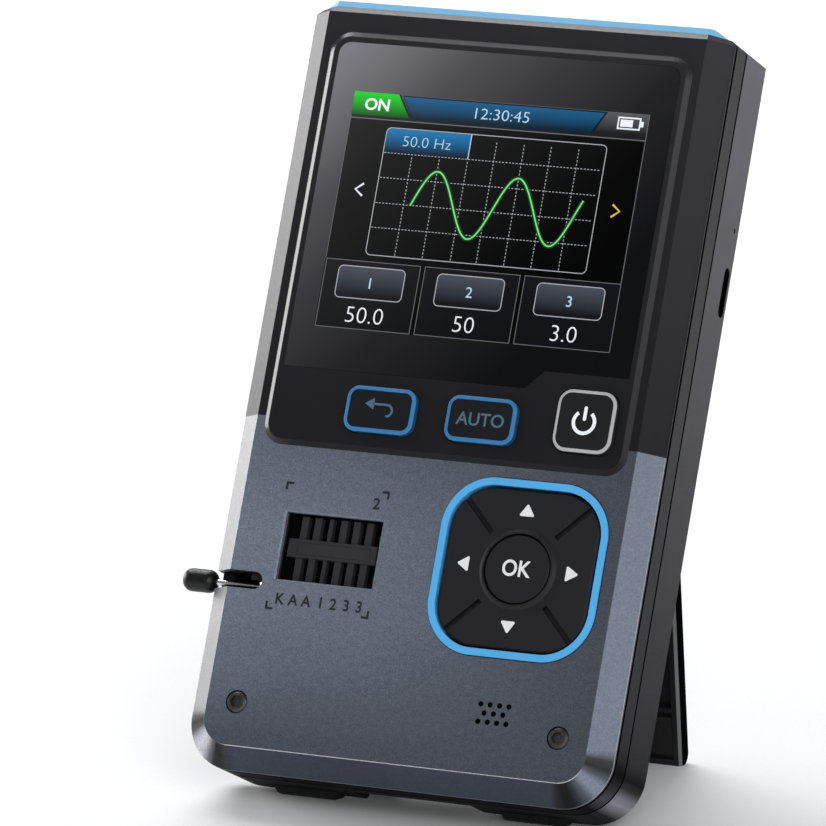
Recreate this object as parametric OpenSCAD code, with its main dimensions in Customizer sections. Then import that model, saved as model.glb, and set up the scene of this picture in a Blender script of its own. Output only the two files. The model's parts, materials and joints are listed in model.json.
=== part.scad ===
// Handheld component tester: a display, a test socket with a clamping lever and a
// key pad in a two-part shell that leans back on a fold-out stand.
//
// Every sub-part is drawn in the device frame: X across the face, Y up the face,
// Z out of the face, origin at the middle of the flat face's lower crease. Depths
// behind the face are positive numbers whose names end in _d. One transform, placed(),
// leans the device back on its stand and sets it on the floor.

/* [Body] */
// Width across the side walls
body_w = 82; // [81:0.5:88]
// Height of the flat face, from its lower crease to its top edge
face_h = 134.8; // [134.4:0.1:140]
// Width of the bevel round the face
bevel_w = 4.1; // [3.6:0.1:4.4]
// Depth of the bevel round the face
bevel_d = 3.65; // [3.3:0.05:3.9]
// Radius of the two lower corners of the body
corner_r = 9; // [8:0.5:11]
// Depth of the seam between the front and the rear shell
seam_d = 9.4; // [9:0.1:10.4]
// Depth of the side walls
side_d = 20; // [19.8:0.1:21]
// Chamfer round the rear edge
rear_edge = 0.8; // [0.6:0.1:1.2]
// Wall thickness of both shells
wall = 2.2; // [1.9:0.1:2.4]
// Thickness of the wall behind the face
face_wall = 3.2; // [3:0.1:3.4]
// Width of the groove that parts the face from the side walls
groove_w = 0.8; // [0.5:0.05:0.9]
// Depth of that groove
groove_d = 0.8; // [0.5:0.1:1.1]
// Height of the upright rim between the bevel and the groove
rim_h = 0.35; // [0.2:0.05:0.5]
// Width of the shadow gap where the two shells meet
seam_gap = 0.4; // [0.2:0.05:0.6]

/* [Top] */
// Height of the chamfered crown on top of the shells, at the front
crown_h = 1.3; // [1.1:0.05:1.8]
// Height that is left of the crown at the rear
crown_rear_h = 0.1; // [0.1:0.05:0.4]
// How far the crown's chamfer steps in
crown_in = 1.4; // [1:0.1:2]
// Height of the cap above the crown
cap_h = 1.25; // [0.9:0.05:2]
// Slope of the cap's ends, measured across
cap_slope = 2.4; // [1:0.1:3]
// Slope of the cap's front and rear edges, measured along
cap_edge = 0.3; // [0.1:0.05:0.6]
// Distance between the two signal sockets
socket_pitch = 28; // [20:1:36]

/* [Display] */
// Height of the display frame above the face
frame_rise = 0.6; // [0.4:0.05:0.9]
// Width of the sloped edge of the display frame
frame_slope = 1; // [0.6:0.1:1.3]
// Width of the display frame
frame_w = 70.6; // [70:0.2:73]
// Height of the display frame's lower edge up the face
frame_low = 54.85; // [54.4:0.05:55.2]
// Gap between the display frame and the top of the face
frame_top_gap = 3.6; // [2:0.1:3.8]
// Corner radius of the display frame
frame_r = 4; // [3:0.25:5]
// Width of the lens
lens_w = 66.6; // [66:0.1:67.6]
// Thickness of the lens
lens_t = 1.1; // [0.9:0.05:1.2]
// Height of the lens's lower edge up the face
lens_low = 69.1; // [68.8:0.1:69.6]
// How much the lens is cut back over the power key
lens_notch = 3.4; // [2:0.1:4]
// Gap between the lens and the sloped edge above it
lens_margin = 1; // [0.6:0.1:1.2]
// Width of the picture
picture_w = 57.6; // [50:0.1:60]
// Height of the picture
picture_h = 43.2; // [38:0.1:45]
// Height of the picture's middle up the face
picture_y = 98.4; // [97.5:0.1:99]

/* [Faceplate] */
// Thickness of the faceplate
plate_t = 1.2; // [1:0.1:1.4]
// Height of the faceplate's upper edge up the face
plate_top = 59.8; // [59:0.1:61]
// Distance between the two front screws
front_screw_pitch = 62.3; // [60:0.1:63]
// Height of the front screws up the face
front_screw_y = 7.8; // [7:0.1:9]
// Diameter of one speaker hole
sound_hole = 1; // [0.7:0.1:1.3]
// Distance between speaker holes in a row
sound_pitch = 1.8; // [1.5:0.1:2.2]

/* [Key pad] */
// Distance of the key pad's middle from the right side wall
pad_in = 22.7; // [22.2:0.1:23]
// Height of the key pad's and the socket's middle up the face
pad_y = 36.7; // [36:0.1:37]
// Outside size of the light ring
ring_w = 32; // [31:0.1:32.4]
// Corner radius of the light ring
ring_r = 9.5; // [8:0.25:11]
// Width of the light ring's band
ring_band = 1.3; // [1:0.05:1.6]
// Gap between the light ring and the faceplate
ring_gap = 0.12; // [0.05:0.01:0.2]
// Radius of the round key in the middle
ok_r = 6.1; // [5.5:0.1:6.3]
// Height of the collar round the middle key
collar_h = 0.5; // [0.3:0.05:0.7]
// Width of the grooves between the four directions
pad_groove = 1; // [0.6:0.1:1.4]
// Travel of every key
key_travel = 0.5; // [0.3:0.05:0.6]
// Tilt of the direction pad to each side, in degrees
pad_tilt = 2.2; // [1:0.1:2.2]

/* [Keys] */
// Size of the square power key
power_w = 11.2; // [10:0.1:11.4]
// Distance of the power key from the body's middle
power_x = 26.8; // [26:0.1:27]
// Height of the power key's middle up the face
power_y = 63.9; // [63.6:0.1:64.2]
// Width of the two flat keys
menu_w = 13.4; // [11:0.1:13.6]
// Height of the two flat keys
menu_h = 8.3; // [6:0.1:8.4]
// Height of the flat keys' middle up the face
menu_y = 62.4; // [62.1:0.1:62.6]
// Distance of the inner flat key from the body's middle
menu_x = 7; // [6.8:0.1:7.4]
// Spacing between neighbouring keys of the row
key_pitch = 19.6; // [18:0.1:21]
// How far the keys stand out of the display frame
key_rise = 1.3; // [0.8:0.1:1.6]

/* [Test socket] */
// Distance between contacts in a row
contact_pitch = 2.54; // [2.4:0.01:2.6]
// Number of contacts in a row
contacts = 7; // [5:1:7]
// Distance between the two rows
row_gap = 7.62; // [7.2:0.02:7.62]
// Distance of the socket's middle from the left side wall
socket_in = 22.5; // [22.2:0.1:22.8]
// Width of the window over the socket
window_w = 18.9; // [18.6:0.1:19.2]
// Height of the window over the socket
window_h = 12.3; // [12:0.1:12.6]
// Chamfer round the window
window_edge = 0.3; // [0.1:0.05:0.4]
// Depth of the socket's top below the face
socket_d = 1.5; // [1.2:0.1:1.8]
// Travel of the socket's clamping slider
clamp_travel = 0.8; // [0.4:0.1:1]
// How far the lever stands out of the side wall
lever_out = 6.95; // [6.5:0.05:10]
// Diameter of the lever's rod
rod = 1.1; // [0.9:0.1:1.6]
// Diameter of the lever's knob
knob = 4.2; // [3.6:0.1:4.6]
// Length of the lever's knob
knob_len = 6.6; // [5:0.1:6.8]

/* [Stand] */
// Width of the stand
stand_w = 64; // [56:0.5:64.4]
// Length of the stand from its hinge to its foot
stand_len = 63.5; // [58:0.5:63.8]
// Thickness of the stand
stand_t = 3.4; // [3:0.1:3.6]
// Angle that the stand opens to, in degrees
stand_open = 31; // [26:0.5:36]
// Height of the stand's hinge up the face
hinge_y = 68.7; // [68.4:0.1:69.4]
// Diameter of the hinge pins
pin = 2; // [1.6:0.1:2.2]
// Height of the rear hump that holds the battery and the stand
hump_h = 6.9; // [6.7:0.1:7.6]
// Height of the rubber feet below the body
foot_h = 1.2; // [1:0.1:1.8]

/* [Hidden] */
$fn = 48;

fit = 0.15;                 // clearance round every piece that moves or drops in
over = 1;                   // overrun of a cut past the face it opens
half_w = body_w / 2;
pad_x = half_w - pad_in;
socket_x = half_w - socket_in;
seam_in = 0.6;              // depth of the shadow gap between the shells
crown_lean = atan((crown_h - crown_rear_h) / side_d);
frame_top = face_h - frame_top_gap;
lens_top = frame_top - frame_slope - lens_margin;

// Pieces behind the face
board_d = 14;
board_t = 1.6;
board_back = board_d + board_t;
board_low = 4.5;
board_high = face_h - 6.3;
board_w = body_w - 2 * wall - 1;
lcd_w = 69.2;
lcd_h = 50;
lcd_t = 2.4;
ledge_t = 0.8;              // ledge that the lens is glued to
lcd_d = lens_t - frame_rise + ledge_t;

// Screws: M2 thread, head and its counterbore
screw = 2;
screw_head = 4;
screw_head_h = 1.3;
boss = 5.4;
rear_screw_x = half_w - 7;
rear_screw_y = face_h - 3;
board_screw_x = board_w / 2 - 2.2;
cross_slot = 2;             // length of the cross recess in the board's screws
board_screw_y = [frame_low + 7.4, board_high - 6.5];

// Signal sockets in the cap
signal_d = board_d - 2.6;
signal_bore = 3.6;
signal_bore_len = 4.8;
signal_barrel = 5.2;
signal_block = 6;           // width and height of a socket's body on the board
signal_pin = 1;
signal_pin_len = 3.4;
signal_proud = 0.2;         // how far the barrels stand out of the cap
signal_top = face_h + crown_h + cap_h - signal_d * tan(crown_lean) + signal_proud;
cap_in = crown_in + 0.1;    // how far the cap's foot lies inside the shells' outline
tongue_w = 56;
tongue_front_d = 5;
tongue_rear_d = 15;

// USB socket and charge light on the right side
usb_w = 8.94;
usb_h = 3.26;
usb_y = 93;
usb_d = board_back + usb_h / 2;
usb_len = 7.3;
usb_mouth_w = 8.34;
usb_mouth_h = 2.56;
usb_tongue_w = 6.6;
usb_tongue_t = 0.7;
usb_back = 0.8;             // thickness of the socket's closed end
usb_slot_w = 9.1;
usb_slot_h = 2.6;
light_y = 104.4;
light_d = usb_d + 0.05;
light_r = 0.45;

// Speaker behind its holes
speaker_r = 6.2;
speaker_t = 3.6;
sound_up = 2.95;            // height of the holes' middle above the front screws

// Keys
ring_inner = ring_w - 2 * ring_band;
ring_top = 0.3;
ring_seat_d = plate_t + 1.2;
pad_gap = 0.45;
pad_w = ring_inner - 2 * pad_gap;
pad_top = 0.15;
pad_thick = 3.3;
pad_edge = 0.35;            // chamfer round the pad
pad_hole_r = ok_r + 0.3;
collar_top_r = pad_hole_r + 0.3;
collar_foot_r = collar_top_r + 0.6;
pad_groove_r = collar_foot_r + 1.4;
pad_groove_d = 1.05;        // depth of the grooves between the directions
pad_stem_r = 1.25;
ok_edge = 0.2;              // chamfer round the middle key
ok_flange_r = ok_r + 1.7;
key_edge = 0.25;            // chamfer round the other keys
key_gap = 0.15;             // gap round a key in its hole
key_flange = 0.9;
switch_d = 7;               // depth of the switches' stems below the face
stem = 3;
key_lift = key_travel + 0.1; // gap between a key's stem and its switch
arrow_r = 10.5;             // distance of each direction's switch from the middle

// Test socket
socket_w = 21.6;
socket_h = 14.6;
slot_w = 1.24;
slot_len = 4.2;
slot_depth = 6;
contact_t = 0.25;
contact_lip = 1.4;          // depth of the contacts below the slider
slider_t = 2;
slider_step = 0.5;          // height of the slider's bar above its ribs
slider_w = window_w - 2 * clamp_travel;
thin_rib = 0.7;
end_wall = 1.2;             // wall round the lever's shaft
lever_d = 5.2;
lever_x = -socket_x - window_w / 2 - 3.4;
lever_y = pad_y - window_h / 2 - 0.95;
shaft_r = 1.5;
knob_round = 1.7;           // radius of the knob's ends
notch_w = 3.2;
notch_y = lever_y + 0.25;
notch_d = lever_d + rod / 2 + 0.6;
notch_gap = 0.5;            // room between the raised lever and the end of its notch
block_y = lever_y + rod / 2 + 0.3;
block_len = pad_y + socket_h / 2 - 0.9 - block_y;
hub_r = 1.7;

// Stand and rear
hump_side = 4;              // width of the hump beside the stand
hump_w = stand_w + 2 * hump_side;
hump_slope = 2.2;
hump_low = hinge_y - stand_len - 4.2;
hump_top = face_h - 6;
rear_d = side_d + hump_h;
stand_clear = 0.25;
heel = 3;                   // length of the stand above its hinge
heel_reach = norm([heel, stand_t / 2]) + stand_clear;
hinge_d = rear_d - stand_t / 2;
recess_d = rear_d - stand_t - stand_clear;
pin_fit = 0.05;
pin_in = 4.4;
pin_out = 1.6;
scoop_w = 23;
scoop_d = 12.6;
stand_edge = 0.5;           // chamfer along the stand's inner side edges
stand_round = 2;            // radius of the stand's outer end
battery_gap = 2;
battery_side = 1.9;         // room between the cell and the USB socket
foot_in = 15.7;
foot_out = 28.6;
foot_front_d = 15.8;
foot_rear_d = side_d - rear_edge - 0.1;
foot_edge_d = foot_rear_d - 1.6;
foot_y = -bevel_w - foot_h;

// How the device leans: the feet's rear edge and the stand's foot share the floor.
tip_y = hinge_y - stand_len * cos(stand_open) - stand_t / 2 * sin(stand_open);
tip_d = hinge_d + stand_len * sin(stand_open) - stand_t / 2 * cos(stand_open);
lean = atan2(tip_y - foot_y, tip_d - foot_edge_d);
lift = foot_edge_d * sin(lean) - foot_y * cos(lean);
lever_len = half_w + lever_out + lever_x;
hump_reach = (hump_top - hump_slope) * sin(lean) + rear_d * cos(lean);
shift_x = lever_out / 2;
shift_y = -hump_reach / 2;

module placed() {
    translate([shift_x, shift_y, lift])
        rotate([90 - lean, 0, 0])
            children();
}

// Everything below the floor, in the device frame
module below_floor() {
    rotate([lean - 90, 0, 0])
        translate([-2 * body_w, -2 * face_h, -lift - face_h])
            cube([4 * body_w, 4 * face_h, face_h]);
}

// Flat shapes -------------------------------------------------------------

module round_rect(w, h, r) {
    square([w - 2 * r, h], center = true);
    square([w, h - 2 * r], center = true);
    for (x = [-1, 1], y = [-1, 1])
        translate([x * (w / 2 - r), y * (h / 2 - r)])
            circle(r = r);
}

// Body outline, set in by a margin: square at the top, round at the two lower corners
module outline(inset = 0) {
    w = half_w - inset;
    low = inset - bevel_w;
    r = corner_r - inset;
    translate([-w, low + r])
        square([2 * w, face_h - inset - low - r]);
    translate([r - w, low])
        square([2 * (w - r), r + 1]);
    for (s = [-1, 1])
        translate([s * (w - r), low + r])
            circle(r = r);
}

// Body outline that narrows over a depth by the same amount at both sides and below
module tapered_outline(inset, depth, narrow) {
    w = half_w - inset;
    low = inset - bevel_w;
    r = corner_r - inset;
    translate([0, face_h, 0])
        rotate([90, 0, 0])
            linear_extrude(face_h - low - r)
                polygon([[-w, 0], [w, 0], [w - narrow, depth], [narrow - w, depth]]);
    rotate([90, 0, 90])
        linear_extrude(2 * (w - r), center = true)
            polygon([[low, 0], [low + r + 1, 0], [low + r + 1, depth], [low + narrow, depth]]);
    for (s = [-1, 1])
        translate([s * (w - r), low + r, 0])
            cylinder(r1 = r, r2 = r - narrow, h = depth);
}

// Slab between two depths
module slab(front_d, back_d) {
    translate([0, 0, -back_d])
        linear_extrude(back_d - front_d)
            children();
}

// Hole or shaft square to the face
module drill(x, y, r, front_d, back_d) {
    translate([x, y, -back_d])
        cylinder(r = r, h = back_d - front_d);
}

// Shared solids -----------------------------------------------------------

// Prism along Y whose two sides slope in as it rises
module wedge(w, length, rise, slope) {
    rotate([90, 0, 0])
        linear_extrude(length, center = true)
            polygon([[-w / 2, 0], [w / 2, 0], [w / 2 - slope, rise], [slope - w / 2, rise]]);
}

// Block with square corners whose four sides slope in
module sloped_block(w, h, rise, slope) {
    intersection() {
        wedge(w, h, rise, slope);
        rotate([0, 0, 90])
            wedge(h, w, rise, slope);
    }
}

// Block with round corners whose edge slopes in all round
module sloped_pad(w, h, r, rise, slope) {
    intersection() {
        sloped_block(w, h, rise, slope);
        union() {
            translate([r - w / 2, -h, 0])
                cube([w - 2 * r, 2 * h, rise]);
            translate([-w, r - h / 2, 0])
                cube([2 * w, h - 2 * r, rise]);
        }
    }
    for (x = [-1, 1], y = [-1, 1])
        translate([x * (w / 2 - r), y * (h / 2 - r), 0])
            cylinder(r1 = r, r2 = r - slope, h = rise);
}

// Raised display frame: sloped edge with round corners
module display_frame() {
    h = frame_top - frame_low;
    translate([0, (frame_top + frame_low) / 2, 0]) {
        slab(0, over)
            round_rect(frame_w, h, frame_r);
        sloped_pad(frame_w, h, frame_r, frame_rise, frame_slope);
    }
}

// Lens outline: the lower edge steps up over the power key
module lens_outline(margin = 0) {
    w = lens_w / 2 + margin;
    low = lens_low - margin;
    r = 2.2;
    step_x = power_x - power_w / 2 - 4;
    difference() {
        union() {
            translate([-w, low])
                square([2 * w, lens_top + margin - low - r]);
            translate([r - w, low])
                square([2 * (w - r), lens_top + margin - low]);
            for (s = [-1, 1])
                translate([s * (w - r), lens_top + margin - r])
                    circle(r = r);
        }
        polygon([[step_x - lens_notch, low - 1], [step_x - lens_notch, low], [step_x, low + lens_notch],
            [w + 1, low + lens_notch], [w + 1, low - 1]]);
    }
}

// The crown's top plane: it slopes down towards the rear
module on_crown() {
    translate([0, face_h + crown_h, 0])
        rotate([-crown_lean, 0, 0])
            children();
}

// The crown: a low chamfered wedge on top of both shells, cut to a range of depths
module crown(front_d, back_d) {
    difference() {
        intersection() {
            hull() {
                translate([0, face_h + 0.01, 0])
                    top_layer(0);
                translate([0, face_h + crown_h, 0])
                    top_layer(crown_in);
            }
            translate([-half_w, face_h - over, -back_d])
                cube([body_w, crown_h + 2 * over, back_d - front_d]);
        }
        on_crown()
            translate([-body_w, 0, -2 * side_d])
                cube([2 * body_w, 3 * over, 3 * side_d]);
    }
}

// Thin layer with the outline of the body seen from above, set in by a margin
module top_layer(inset) {
    rotate([90, 0, 0])
        linear_extrude(0.01)
            top_outline(inset);
}

module top_outline(inset) {
    offset(delta = -inset)
        polygon([[bevel_w - half_w, 0], [half_w - bevel_w, 0], [half_w, -bevel_d],
            [half_w, rear_edge - side_d], [half_w - rear_edge, -side_d],
            [rear_edge - half_w, -side_d], [-half_w, rear_edge - side_d], [-half_w, -bevel_d]]);
}

// Passage for the cap's tongue and the signal sockets, up to a height above the body
module tongue(top, margin = 0) {
    low = face_h - wall - over;
    translate([0, face_h + top, 0])
        rotate([90, 0, 0])
            linear_extrude(face_h + top - low)
                polygon([[-tongue_w / 2 - margin, margin - tongue_front_d],
                    [tongue_w / 2 + margin, margin - tongue_front_d],
                    [tongue_w / 2 + margin, -tongue_rear_d - margin],
                    [-tongue_w / 2 - margin, -tongue_rear_d - margin]]);
}

// Faceplate's full thickness, with its bevelled rim, before anything is cut in it
module plate_blank() {
    intersection() {
        difference() {
            union() {
                translate([0, 0, -bevel_d])
                    tapered_outline(0, bevel_d, bevel_w);
                slab(bevel_d, bevel_d + rim_h)
                    outline();
            }
            translate([0, 0, -bevel_d - plate_t])
                tapered_outline(0.5, bevel_d, bevel_w);
        }
        translate([-body_w, -2 * bevel_w, -bevel_d - over])
            cube([2 * body_w, plate_top + 2 * bevel_w, bevel_d + 2 * over]);
    }
}

// Everything outside the body's sides and its lower edge, from a depth below them
module round_the_sides(depth) {
    difference() {
        translate([-body_w, -bevel_w - over])
            square([2 * body_w, face_h + crown_h + bevel_w + 2 * over]);
        outline(depth);
        translate([depth - half_w, face_h / 2])
            square([body_w - 2 * depth, face_h]);
    }
}

// Slot for the lever through the left bevel
module lever_notch(back_d) {
    middle_x = lever_x + rod / 2 + notch_gap - notch_w / 2;
    slab(-over, back_d) {
        translate([-half_w - over, notch_y - notch_w / 2])
            square([middle_x + half_w + over, notch_w]);
        translate([middle_x, notch_y])
            circle(d = notch_w);
    }
}

module sound_holes(back_d) {
    for (row = [-1:1], i = [0:3])
        if (row != 0 || i < 3)
            drill(pad_x + (i - (row == 0 ? 1 : 1.5)) * sound_pitch,
                front_screw_y + sound_up + row * sound_pitch * sin(60), sound_hole / 2, -over, back_d);
}

module at_pad() {
    translate([pad_x, pad_y, 0])
        children();
}

module front_screw_places() {
    for (s = [-1, 1])
        translate([s * front_screw_pitch / 2, front_screw_y, 0])
            children();
}

module rear_screw_places() {
    for (s = [-1, 1])
        translate([s * rear_screw_x, rear_screw_y, 0])
            children();
}

module board_screw_places() {
    for (s = [-1, 1], y = board_screw_y)
        translate([s * board_screw_x, y, 0])
            children();
}

// Key cap with a flange behind the wall and a stem that reaches towards its switch
module key_cap(w, h, r) {
    top = frame_rise + key_rise;
    translate([0, 0, top - key_edge])
        sloped_pad(w, h, r, key_edge, key_edge);
    slab(key_edge - top, face_wall + 0.2)
        round_rect(w, h, r);
    slab(face_wall + 0.1, face_wall + 0.1 + key_flange)
        round_rect(w + 1.4, h + 1.4, r + 0.7);
    slab(face_wall, switch_d - key_lift)
        square(stem, center = true);
}

module key_hole(w, h, r) {
    slab(-over - frame_rise, face_wall + over)
        round_rect(w + 2 * key_gap, h + 2 * key_gap, r + key_gap);
}

// Fixed pieces --------------------------------------------------------------

module front_shell() {
    color([0.17, 0.17, 0.18])
        difference() {
            union() {
                translate([0, 0, -bevel_d])
                    tapered_outline(0, bevel_d, bevel_w);
                slab(bevel_d, seam_d)
                    outline();
                display_frame();
                crown(0, seam_d);
            }
            // seat of the faceplate, which runs round the display frame
            difference() {
                plate_blank();
                translate([0, (frame_top + frame_low) / 2, -plate_t - 4])
                    linear_extrude(plate_t + 6)
                        round_rect(frame_w, frame_top - frame_low, frame_r);
            }
            slab(bevel_d + rim_h, bevel_d + rim_h + groove_w)
                round_the_sides(groove_d);
            slab(seam_d - seam_gap, seam_d + over)
                round_the_sides(seam_in);
            // hollow behind the face
            difference() {
                slab(face_wall, seam_d + over)
                    outline(wall + bevel_w);
                shell_bosses(face_wall, seam_d + over);
            }
            difference() {
                slab(bevel_d + rim_h + groove_w + 0.6, seam_d + over)
                    outline(wall);
                shell_bosses(bevel_d, seam_d + over);
            }
            // display
            slab(-frame_rise - over, lens_t - frame_rise)
                lens_outline(fit / 3);
            slab(0, face_wall + over)
                translate([0, picture_y])
                    square([picture_w + 1.4, picture_h + 1.4], center = true);
            slab(lcd_d, face_wall + over)
                translate([0, picture_y])
                    square([lcd_w + 2 * fit, lcd_h + 2 * fit], center = true);
            // keys
            translate([power_x, power_y, 0])
                key_hole(power_w, power_w, 2.6);
            for (i = [0, 1])
                translate([menu_x - i * key_pitch, menu_y, 0])
                    key_hole(menu_w, menu_h, 2.2);
            slab(0, face_wall + over)
                at_pad()
                    round_rect(ring_inner, ring_inner, ring_r - ring_band);
            slab(0, ring_seat_d)
                at_pad()
                    round_rect(ring_w + 2 * ring_gap, ring_w + 2 * ring_gap, ring_r + ring_gap);
            // test socket, lever and sound
            slab(0, face_wall + over)
                translate([-socket_x, pad_y])
                    square([window_w + 3, socket_h + 2 * fit], center = true);
            lever_notch(notch_d);
            sound_holes(face_wall + over);
            front_screw_places()
                drill(0, 0, screw / 2 + 0.1, 0, seam_d + over);
            rear_screw_places()
                drill(0, 0, screw / 2, face_wall + 1.4, seam_d + over);
            board_screw_places()
                drill(0, 0, screw / 2, face_wall + 2.2, board_d + over);
            tongue(crown_h + over, fit / 3);
        }
    color([0.17, 0.17, 0.18])
        board_screw_places()
            difference() {
                drill(0, 0, screw, seam_d, board_d);
                drill(0, 0, screw / 2, seam_d - over, board_d + over);
            }
}

// Posts that stand inside the front shell
module shell_bosses(front_d, back_d) {
    front_screw_places()
        drill(0, 0, boss / 2, front_d, back_d);
    rear_screw_places()
        drill(0, 0, boss / 2, front_d, back_d);
    board_screw_places()
        drill(0, 0, screw, front_d, back_d);
}

module faceplate() {
    color([0.36, 0.39, 0.44])
        difference() {
            plate_blank();
            translate([0, (frame_top + frame_low) / 2, -plate_t - 4])
                linear_extrude(plate_t + 6)
                    round_rect(frame_w, frame_top - frame_low, frame_r);
            slab(-over, plate_t + over)
                at_pad()
                    round_rect(ring_w + 2 * ring_gap, ring_w + 2 * ring_gap, ring_r + ring_gap);
            slab(-over, plate_t + over)
                translate([-socket_x, pad_y])
                    square([window_w, window_h], center = true);
            translate([-socket_x, pad_y, over])
                sloped_block(window_w + 2 * window_edge + 2 * over, window_h + 2 * window_edge + 2 * over,
                    -window_edge - over, window_edge + over);
            lever_notch(notch_d);
            sound_holes(plate_t + over);
            front_screw_places() {
                drill(0, 0, screw_head / 2 + 0.1, -over, screw_head_h - 0.4);
                drill(0, 0, screw / 2 + 0.1, 0, plate_t + over);
            }
        }
}

module display_lens() {
    color([0.03, 0.03, 0.035])
        slab(-frame_rise, lens_t - frame_rise)
            lens_outline();
}

module lcd_module() {
    color([0.1, 0.12, 0.16]) {
        slab(lcd_d, lcd_d + lcd_t)
            translate([0, picture_y])
                square([lcd_w, lcd_h], center = true);
        slab(lcd_d - ledge_t + 0.1, lcd_d)
            translate([0, picture_y])
                square([picture_w + 1, picture_h + 1], center = true);
    }
}

module light_ring() {
    color([0.3, 0.68, 0.93])
        slab(-ring_top, ring_seat_d)
            at_pad()
                difference() {
                    round_rect(ring_w, ring_w, ring_r);
                    round_rect(ring_inner, ring_inner, ring_r - ring_band);
                }
}

module main_board() {
    color([0.05, 0.3, 0.15])
        slab(board_d, board_back)
            difference() {
                translate([-board_w / 2, board_low])
                    square([board_w, board_high - board_low]);
                front_screw_places()
                    circle(r = boss / 2 + 0.3);
                board_screw_places()
                    circle(r = screw / 2 + 0.1);
            }
}

// One push switch: body and round stem
module push_switch() {
    slab(switch_d + 3.4, board_d)
        square(6, center = true);
    drill(0, 0, 1.75, switch_d, switch_d + 3.4);
}

module key_switches() {
    color([0.25, 0.25, 0.27]) {
        translate([power_x, power_y, 0])
            push_switch();
        for (i = [0, 1])
            translate([menu_x - i * key_pitch, menu_y, 0])
                push_switch();
        at_pad()
            push_switch();
        for (a = [0:90:270])
            translate([pad_x + arrow_r * cos(a), pad_y + arrow_r * sin(a), 0])
                push_switch();
    }
}

module speaker() {
    color([0.2, 0.2, 0.2])
        translate([pad_x, front_screw_y + sound_up, 0])
            difference() {
                drill(0, 0, speaker_r, face_wall, face_wall + speaker_t);
                drill(0, 0, speaker_r - 1.6, face_wall - over, face_wall + 1);
            }
}

// Battery cell, which fills the hump above the stand's hinge but for a gap all round
module battery() {
    low = hinge_y + heel_reach + wall + battery_gap;
    // the cell stays clear of the hump's walls and of the USB socket
    half = min(hump_w / 2 - 2 * wall - battery_gap, half_w - wall - usb_len - battery_side);
    color([0.62, 0.63, 0.66])
        slab(board_back + 1.6, rear_d - wall - fit)
            translate([-half, low])
                square([2 * half, hump_top - 2 * wall - battery_gap - low]);
}

// Signal sockets: round barrels that stand up through the cap, on square bodies
module signal_sockets() {
    color([0.8, 0.66, 0.3])
        for (s = [-1, 1])
            translate([s * socket_pitch / 2, 0, -signal_d])
                rotate([-90, 0, 0]) {
                    difference() {
                        union() {
                            translate([0, 0, board_high - signal_block])
                                cylinder(d = signal_barrel, h = signal_top - board_high + signal_block);
                            translate([0, 0, board_high - signal_block / 2])
                                cube([signal_block, 2 * (board_d - signal_d), signal_block], center = true);
                        }
                        translate([0, 0, signal_top - signal_bore_len])
                            cylinder(d = signal_bore, h = signal_bore_len + over);
                    }
                    translate([0, 0, signal_top - signal_bore_len - 0.1])
                        cylinder(d = signal_pin, h = signal_pin_len);
                }
}

module top_cap() {
    color([0.2, 0.55, 0.9])
        difference() {
            union() {
                on_crown()
                    hull() {
                        translate([0, 0.01, 0])
                            cap_layer(0, 0);
                        translate([0, cap_h, 0])
                            cap_layer(cap_slope, cap_edge);
                    }
                tongue(crown_h - tongue_front_d * tan(crown_lean));
            }
            for (s = [-1, 1])
                translate([s * socket_pitch / 2, face_h - wall - 2 * over, -signal_d])
                    rotate([-90, 0, 0])
                        cylinder(d = signal_barrel, h = wall + crown_h + cap_h + 4 * over);
        }
}

// Thin layer of the cap, narrower at its ends and set in along its front and rear edges
module cap_layer(ends, edges) {
    rotate([90, 0, 0])
        linear_extrude(0.01)
            intersection() {
                top_outline(cap_in + edges);
                square([body_w - 2 * cap_in - 2 * ends, 3 * side_d], center = true);
            }
}

module usb_socket() {
    color([0.75, 0.75, 0.77])
        translate([half_w - wall - usb_len, usb_y, -usb_d])
            rotate([90, 0, 90])
                difference() {
                    linear_extrude(usb_len)
                        round_rect(usb_w, usb_h, 1.6);
                    translate([0, 0, usb_back])
                        linear_extrude(usb_len)
                            difference() {
                                round_rect(usb_mouth_w, usb_mouth_h, 1.27);
                                square([usb_tongue_w, usb_tongue_t], center = true);
                            }
                }
}

module charge_light() {
    color([0.9, 0.9, 0.88])
        translate([half_w - wall - 1.6, light_y, -light_d])
            rotate([0, 90, 0])
                cylinder(r = light_r, h = wall + 1.4);
}

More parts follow.
